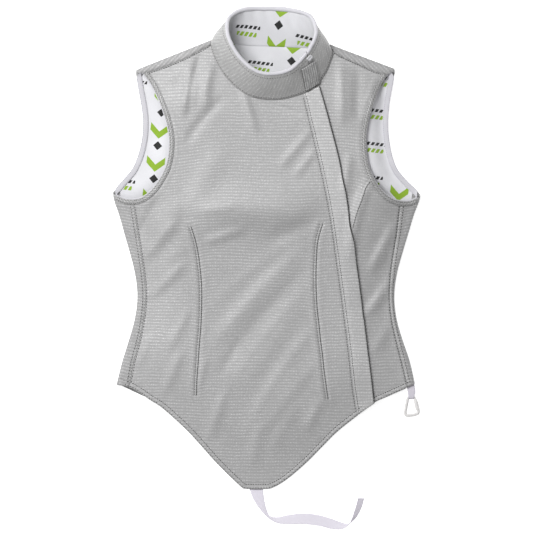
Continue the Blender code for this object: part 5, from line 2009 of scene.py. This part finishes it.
@dataclass(frozen=True)
class Armhole:
    """One armhole: the grey band on its front edge and the white facing all round."""

    half: Half

    def build(self) -> None:
        """Make the band, the facing and their stitches."""
        self.build_band()
        self.build_facing()

    def build_band(self) -> None:
        """The narrow bias band stitched round the front edge."""
        name, side = f"{self.half.name}_armhole", self.half.side
        path = smooth_path([*self.half.front, *self.half.pit[1:]], 3.0)[:-2]
        step = BAND_WIDTH * beside(path, -side)
        lines = []
        for share in np.linspace(0, 1, 9):
            pinch = -0.35 * bump((share - 0.24) * 7, 0.7) - 0.35 * bump((share - 0.80) * 7, 0.7)
            lines.append(on_front(path + share * step, LINING_DROP + 0.35 * np.sin(np.pi * share) + pinch))
        made = lattice_piece(f"{name}_band_cloth", lines, LINING_WALL, LAME_BIAS, turn=0.7)
        LEDGER.trim(made, f"{name}_band", "front_right_cloth" if side < 0 else "front_left_cloth")
        top = LINING_DROP + LINING_WALL / 2 + 0.05
        rows = [seam_on_front(path + share * step, top, Stitch(2.2, 1.2, 0.38)) for share in (0.24, 0.80)]
        sewn(f"{name}_band_stitches", rows, GREY_THREAD)

    def build_facing(self) -> None:
        """The white facing: under the front edge, through both folds, over the back."""
        half, name = self.half, f"{self.half.name}_armhole"
        path = smooth_path([*half.tip[:-1], *half.front, *half.pit[1:]], 3.0)[2:-2]
        step = beside(path, -half.side)
        front = np.array([
            on_front(path - FACING_SHOW * step, 0.5 - LINING_DROP),
            on_front(path + (FACING_WIDTH - FACING_SHOW) * step, -LINING_DROP),
        ])
        path = smooth_path(half.back, 3.6)[2:-2]
        step = beside(path, half.side)
        level = SHELL_WALL + 1.5 * LINING_WALL + 2 * LAYER_GAP + back_rise(*path.T)
        back = np.array([np.column_stack([path + out * step, level]) for out in (-0.2, FACING_WIDTH)])
        pit = facing_turn(front[:, -1], back[:, 0], (half.side, 0.25))
        tip = facing_turn(back[:, -1], front[:, 0], (half.side * 0.35, 1.0))
        edge, inner = np.concatenate([front, pit, back, tip], axis=1)
        lines = ribbon_lines(edge, inner, 8, 0.25)
        made = lattice_piece(f"{name}_facing_cloth", lines, LINING_WALL, TRIM, closed=True)
        LEDGER.trim(made, f"{name}_facing", "back_lining_cloth")
        up = np.tile((0.0, 0.0, 1.0), (len(path), 1))
        rows = []
        # The row near the inner edge is grey thread: partly the facing's stitching and partly a painted shadow
        # line along that edge.
        for share in (0.12, 0.86):
            row = back[0] * (1 - share) + back[1] * share
            rise = (0, 0, LINING_WALL / 2 + 0.25 * np.sin(np.pi * share))
            rows.append(Seam(row + rise, up, Stitch(2.2, 1.1, 0.34)))
        sewn(f"{name}_facing_stitches", rows, FACING_THREAD_AND_SHADE, "lining")


def facing_turn(start: Array, end: Array, outwards: tuple[float, float]) -> Array:
    """Stations of a facing that turns from one layer to the other through a fold.

    Args:
        start: the facing's outer and inner edge where it leaves the one layer.
        end: its outer and inner edge where it meets the other layer.
        outwards: the way that the fold bulges, seen from above.

    Returns:
        The outer and the inner edge through the fold.
    """
    bulge = np.array([*outwards, 0.0])
    bulge = bulge / np.linalg.norm(bulge) * 0.6 * abs(end[0, 2] - start[0, 2])
    stations = []
    for share in np.linspace(0, 1, 11)[1:-1]:
        blend = (1 - np.cos(np.pi * share)) / 2
        stations.append(start * (1 - blend) + end * blend + bulge * np.sin(np.pi * share))
    return np.stack(stations, axis=1)


@dataclass(frozen=True)
class Topstitching:
    """The rows of stitches over the fronts and the turned-over strips."""

    dart_shade_stitch: Stitch = Stitch(2.9, 0.3, 0.58)
    side_stitch: Stitch = Stitch(2.4, 1.8, 0.5)
    bead: Stitch = Stitch(2.2, 2.2, 0.55)
    shoulder_stitch: Stitch = Stitch(2.8, 1.0, 0.5)
    side_ends: tuple[float, float] = (-172.0, 98.0)

    def build(self) -> None:
        """Sew the darts in dark thread, close on their shaded sides as partly painted shadow, the seams and hem
        in grey, and light beads by the side seams as a painted highlight.
        """
        dark = []
        grey = []
        beads = []
        for name in ("left_dart", "right_dart"):
            path = smooth_path(DARTS[name], 3.0)
            step = beside(path, 1)
            # On the dart's side away from the light the dark row is set close: partly real stitching and partly
            # the dart's painted shadow.
            dark.append(front_seam(path + 1.5 * step, self.dart_shade_stitch))
            grey.append(front_seam(path - 1.6 * step, Stitch(2.4)))
        dark.append(front_seam(smooth_path(DARTS["bust_dart"], 3.0) + (1.2, 0)))
        for half in HALVES:
            path = along_table(BODY, f"{half.name}_seam", *self.side_ends, 3.0)
            for aside, rows in ((-1.6, dark), (4.6, grey)):
                rows.append(front_seam(path + (half.side * aside, 0), self.side_stitch))
            # A row of light beads beside each side seam, a painted highlight along the seam.
            beads.append(front_seam(path + (half.side * 1.5, 0), self.bead, SHELL_WALL / 2))
        for half in HALVES:
            path = smooth_path(half.shoulder, 3.0)[1:-1]
            dark.append(front_seam(path - (0, 1.6), self.shoulder_stitch))
        sewn("seam_highlight_beads", beads, SEAM_HIGHLIGHT_THREAD)
        sewn("dark_topstitches_and_dart_shade", dark, DARK_THREAD_AND_SHADE)
        grey.append(self.hem_row(1.6, Stitch(1.8, 2.4, 0.5)))
        grey.append(self.hem_row(7.0, Stitch(2.4, 1.2, 0.46)))
        sewn("topstitches", grey, GREY_THREAD)

    def hem_row(self, inwards: float, stitch: Stitch) -> Seam:
        """One row of stitches along the front's hem, over the placket too.

        Args:
            inwards: how far in from the hem.
            stitch: its stitch.

        Returns:
            The row.
        """
        path = smooth_path(HEM, 3.0)
        path = path - inwards * beside(path, -1)
        path = path[(path[:, 0] > -216) & (path[:, 0] < 214)]
        x, y = path.T
        on_flap = (x > column(PLACKET, "sewn", y)) & (x < column(PLACKET, "free", y))
        return front_seam(path, stitch, STITCH_SEAT + np.where(on_flap, FLAP_WALL + FLAP_SEAT, 0.0))


@dataclass(frozen=True)
class Strap:
    """The elastic crotch strap, laid from under the point and twisting up at its free end."""

    steps: int = 9
    width: float = STRAP_WIDTH
    eased: int = 6

    def build(self) -> None:
        """Make the strap and let it stand for its solid."""
        stations = curved(STRAP, self.steps)
        outer, inner = stations[:, :2], stations[:, 2:]
        reach = np.linalg.norm(inner - outer, axis=1)
        lift = np.sqrt(np.maximum(self.width**2 - reach**2, 0))
        share = np.linspace(0, 1, len(lift))
        pressed = 0.15 + 0.17 * np.clip((share - 0.78) / 0.1, 0, 1)
        window = 2 * self.eased + 1
        eased = np.convolve(np.pad(lift, self.eased, mode="edge"), np.ones(window) / window, mode="valid")
        lift = pressed * eased
        outer = np.column_stack([outer, STRAP_REST + lift])
        inner = np.column_stack([inner, STRAP_REST + 0.02 + 0.1 * lift / self.width])
        made = lattice_piece("crotch_strap_webbing", ribbon_lines(outer, inner, 11), STRAP_WALL, ELASTIC)
        LEDGER.lay(made, "crotch_strap", "elastic", "table")


@dataclass(frozen=True)
class HookSet:
    """The snap hook on its elastic loop at the hem's right end."""

    bar_half: float = 5.5
    pivot: tuple[float, float, float] = (217.0, -193.4, 3.1)
    sides: int = 10

    def build(self) -> None:
        """Make the loop and the hook."""
        self.build_loop()
        self.build_hook()

    def build_loop(self) -> None:
        """The elastic loop: two layers from inside the hem, folded round the hook's bar."""
        x, y, z = self.pivot
        radius = BAR_WIRE + LAYER_GAP + LOOP_WALL / 2
        heights = np.linspace(LOOP[0].y, LOOP[-1].y, 9)
        under, over = (z + column(LOOP[::-1], layer, heights) for layer in ("under", "over"))
        turn = np.radians(np.linspace(-90, 90, 21))
        edges = []
        for name, aside in (("left", -1), ("right", 1)):
            edge = column(LOOP[::-1], name, heights)
            fold = np.full(len(turn), x + aside * LOOP_FOLD_WIDTH / 2)
            edges.append(np.vstack([
                np.column_stack([edge, heights, under]),
                np.column_stack([fold, y - radius * np.cos(turn), z + radius * np.sin(turn)]),
                np.column_stack([edge, heights, over])[::-1],
            ]))
        # The loop's finish is darkened as painted shade under the hem.
        made = lattice_piece("hook_loop_webbing", ribbon_lines(*edges, 7), LOOP_WALL, SHADED_LOOP_WEBBING)
        LEDGER.trim(made, "hook_loop", "back_cloth")

    def build_hook(self) -> None:
        """The moulded hook: its frame and, on its right leg, the thicker sprung gate."""
        half = self.bar_half
        corners = (
            (-half + 0.6, 0.0, BAR_WIRE), (-half - 0.2, -1.0, BAR_WIRE), (-half - 0.3, -3.8, HOOK_WIRE),
            (-9.6, -23.4, HOOK_WIRE), (-7.8, -27.4, HOOK_WIRE), (4.8, -26.4, HOOK_WIRE),
            (10.4, -24.0, HOOK_WIRE), (10.6, -20.4, HOOK_WIRE), (half + 0.9, -5.0, HOOK_WIRE),
            (half + 0.2, -1.0, BAR_WIRE), (half - 0.6, 0.0, BAR_WIRE),
        )
        fine = resampled(np.array(corners + corners[:1]), 1.0)[:-1]
        for _ in range(3):
            fine = (np.roll(fine, 1, axis=0) + 2 * fine + np.roll(fine, -1, axis=0)) / 4
        places = fine * (1, 1, 0) + self.pivot
        frame = swept("snap_hook_frame", places, fine[:, 2], HOOK_PLASTIC, closed=True, sides=self.sides)
        dressed(frame, "snap_hook", "hook")
        start = np.array([10.2, -20.4, 0.0])
        end = np.array([half + 0.9, -5.4, 0.0])
        shares = np.linspace(0, 1, 24)
        leg = np.array(self.pivot) + np.outer(1 - shares, start) + np.outer(shares, end)
        radii = GATE_WIRE * np.clip(np.sin(np.pi * np.clip(shares, 0.03, 0.97)) * 3.2, 0.2, 1.0) ** 0.5
        gate = swept("snap_hook_gate", leg, radii, HOOK_PLASTIC, sides=self.sides)
        dressed(gate, body="hook")


@dataclass(frozen=True)
class Studio:
    """The plain pale table, the soft light and the camera straight above."""

    view: float = 0.7995
    eye: tuple[float, float, float] = (0.0, 0.0026, 2.4)
    table_half: float = 3.0
    table_drop: float = 0.0004
    surround: float = 0.46

    def build(self) -> None:
        """Make the table, the lights and the camera."""
        self.build_table()
        self.build_lights()
        self.build_camera()
        bpy.context.scene.view_settings.view_transform = "Standard"

    def build_table(self) -> None:
        """A wide pale table top under the garment."""
        shape = bmesh.new()
        bmesh.ops.create_grid(shape, x_segments=1, y_segments=1, size=self.table_half)
        bmesh.ops.translate(shape, verts=shape.verts, vec=(0.0, 0.0, -self.table_drop))
        mesh = bpy.data.meshes.new("table")
        shape.to_mesh(mesh)
        shape.free()
        made = bpy.data.materials.new("pale_table")
        made.use_nodes = True
        w = Wires(made.node_tree)
        shader = made.node_tree.nodes["Principled BSDF"]
        grain = w.noise(w.object_place(), 6.0, 3.0)
        w.feed(shader.inputs["Base Color"], w.blend(grain, (0.90, 0.90, 0.90, 1.0), (0.94, 0.94, 0.94, 1.0)))
        w.preset(shader, {"Roughness": 0.9, "Emission Color": (1.0, 1.0, 1.0, 1.0), "Emission Strength": 0.6})
        mesh.materials.append(made)
        linked("table", mesh)

    def build_lights(self) -> None:
        """A large soft light from the upper left, a weak one from the lower left, and a pale surround."""
        world = bpy.data.worlds.new("surround")
        world.use_nodes = True
        sky = {"Color": (1.0, 1.0, 1.0, 1.0), "Strength": self.surround}
        Wires(world.node_tree).preset(world.node_tree.nodes["Background"], sky)
        bpy.context.scene.world = world
        self.light("key", (-1.3, 1.5, 2.8), 1.5, 120.0)
        self.light("fill", (-1.9, -1.1, 2.2), 2.0, 14.0)

    def light(self, name: str, place: tuple[float, float, float], size: float, power: float) -> None:
        """One square area light, aimed at the garment.

        Args:
            name: the light's name.
            place: where it stands, in metres.
            size: its side, in metres.
            power: its power, in watts.
        """
        lamp = bpy.data.lights.new(name, "AREA")
        lamp.size = size
        lamp.energy = power
        holder = linked(name, lamp)
        holder.location = place
        holder.rotation_euler = (-Vector(place)).to_track_quat("-Z", "Y").to_euler()

    def build_camera(self) -> None:
        """A camera straight above with a long, even view."""
        camera = bpy.data.cameras.new("overhead")
        camera.type = "ORTHO"
        camera.ortho_scale = self.view
        camera.clip_end = 10.0
        holder = linked("overhead", camera)
        holder.location = self.eye
        bpy.context.scene.camera = holder


def main() -> None:
    """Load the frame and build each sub-assembly round it."""
    logging.basicConfig(level=logging.INFO, format="%(name)s: %(message)s")
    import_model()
    for part in (
        Studio(), BackCloth(), BackLining(), FrontCloths(), Placket(), Zip(), Collar(), Armhole(LEFT),
        Armhole(RIGHT), Topstitching(), Strap(), HookSet(),
    ):
        part.build()


if __name__ == "__main__":
    main()
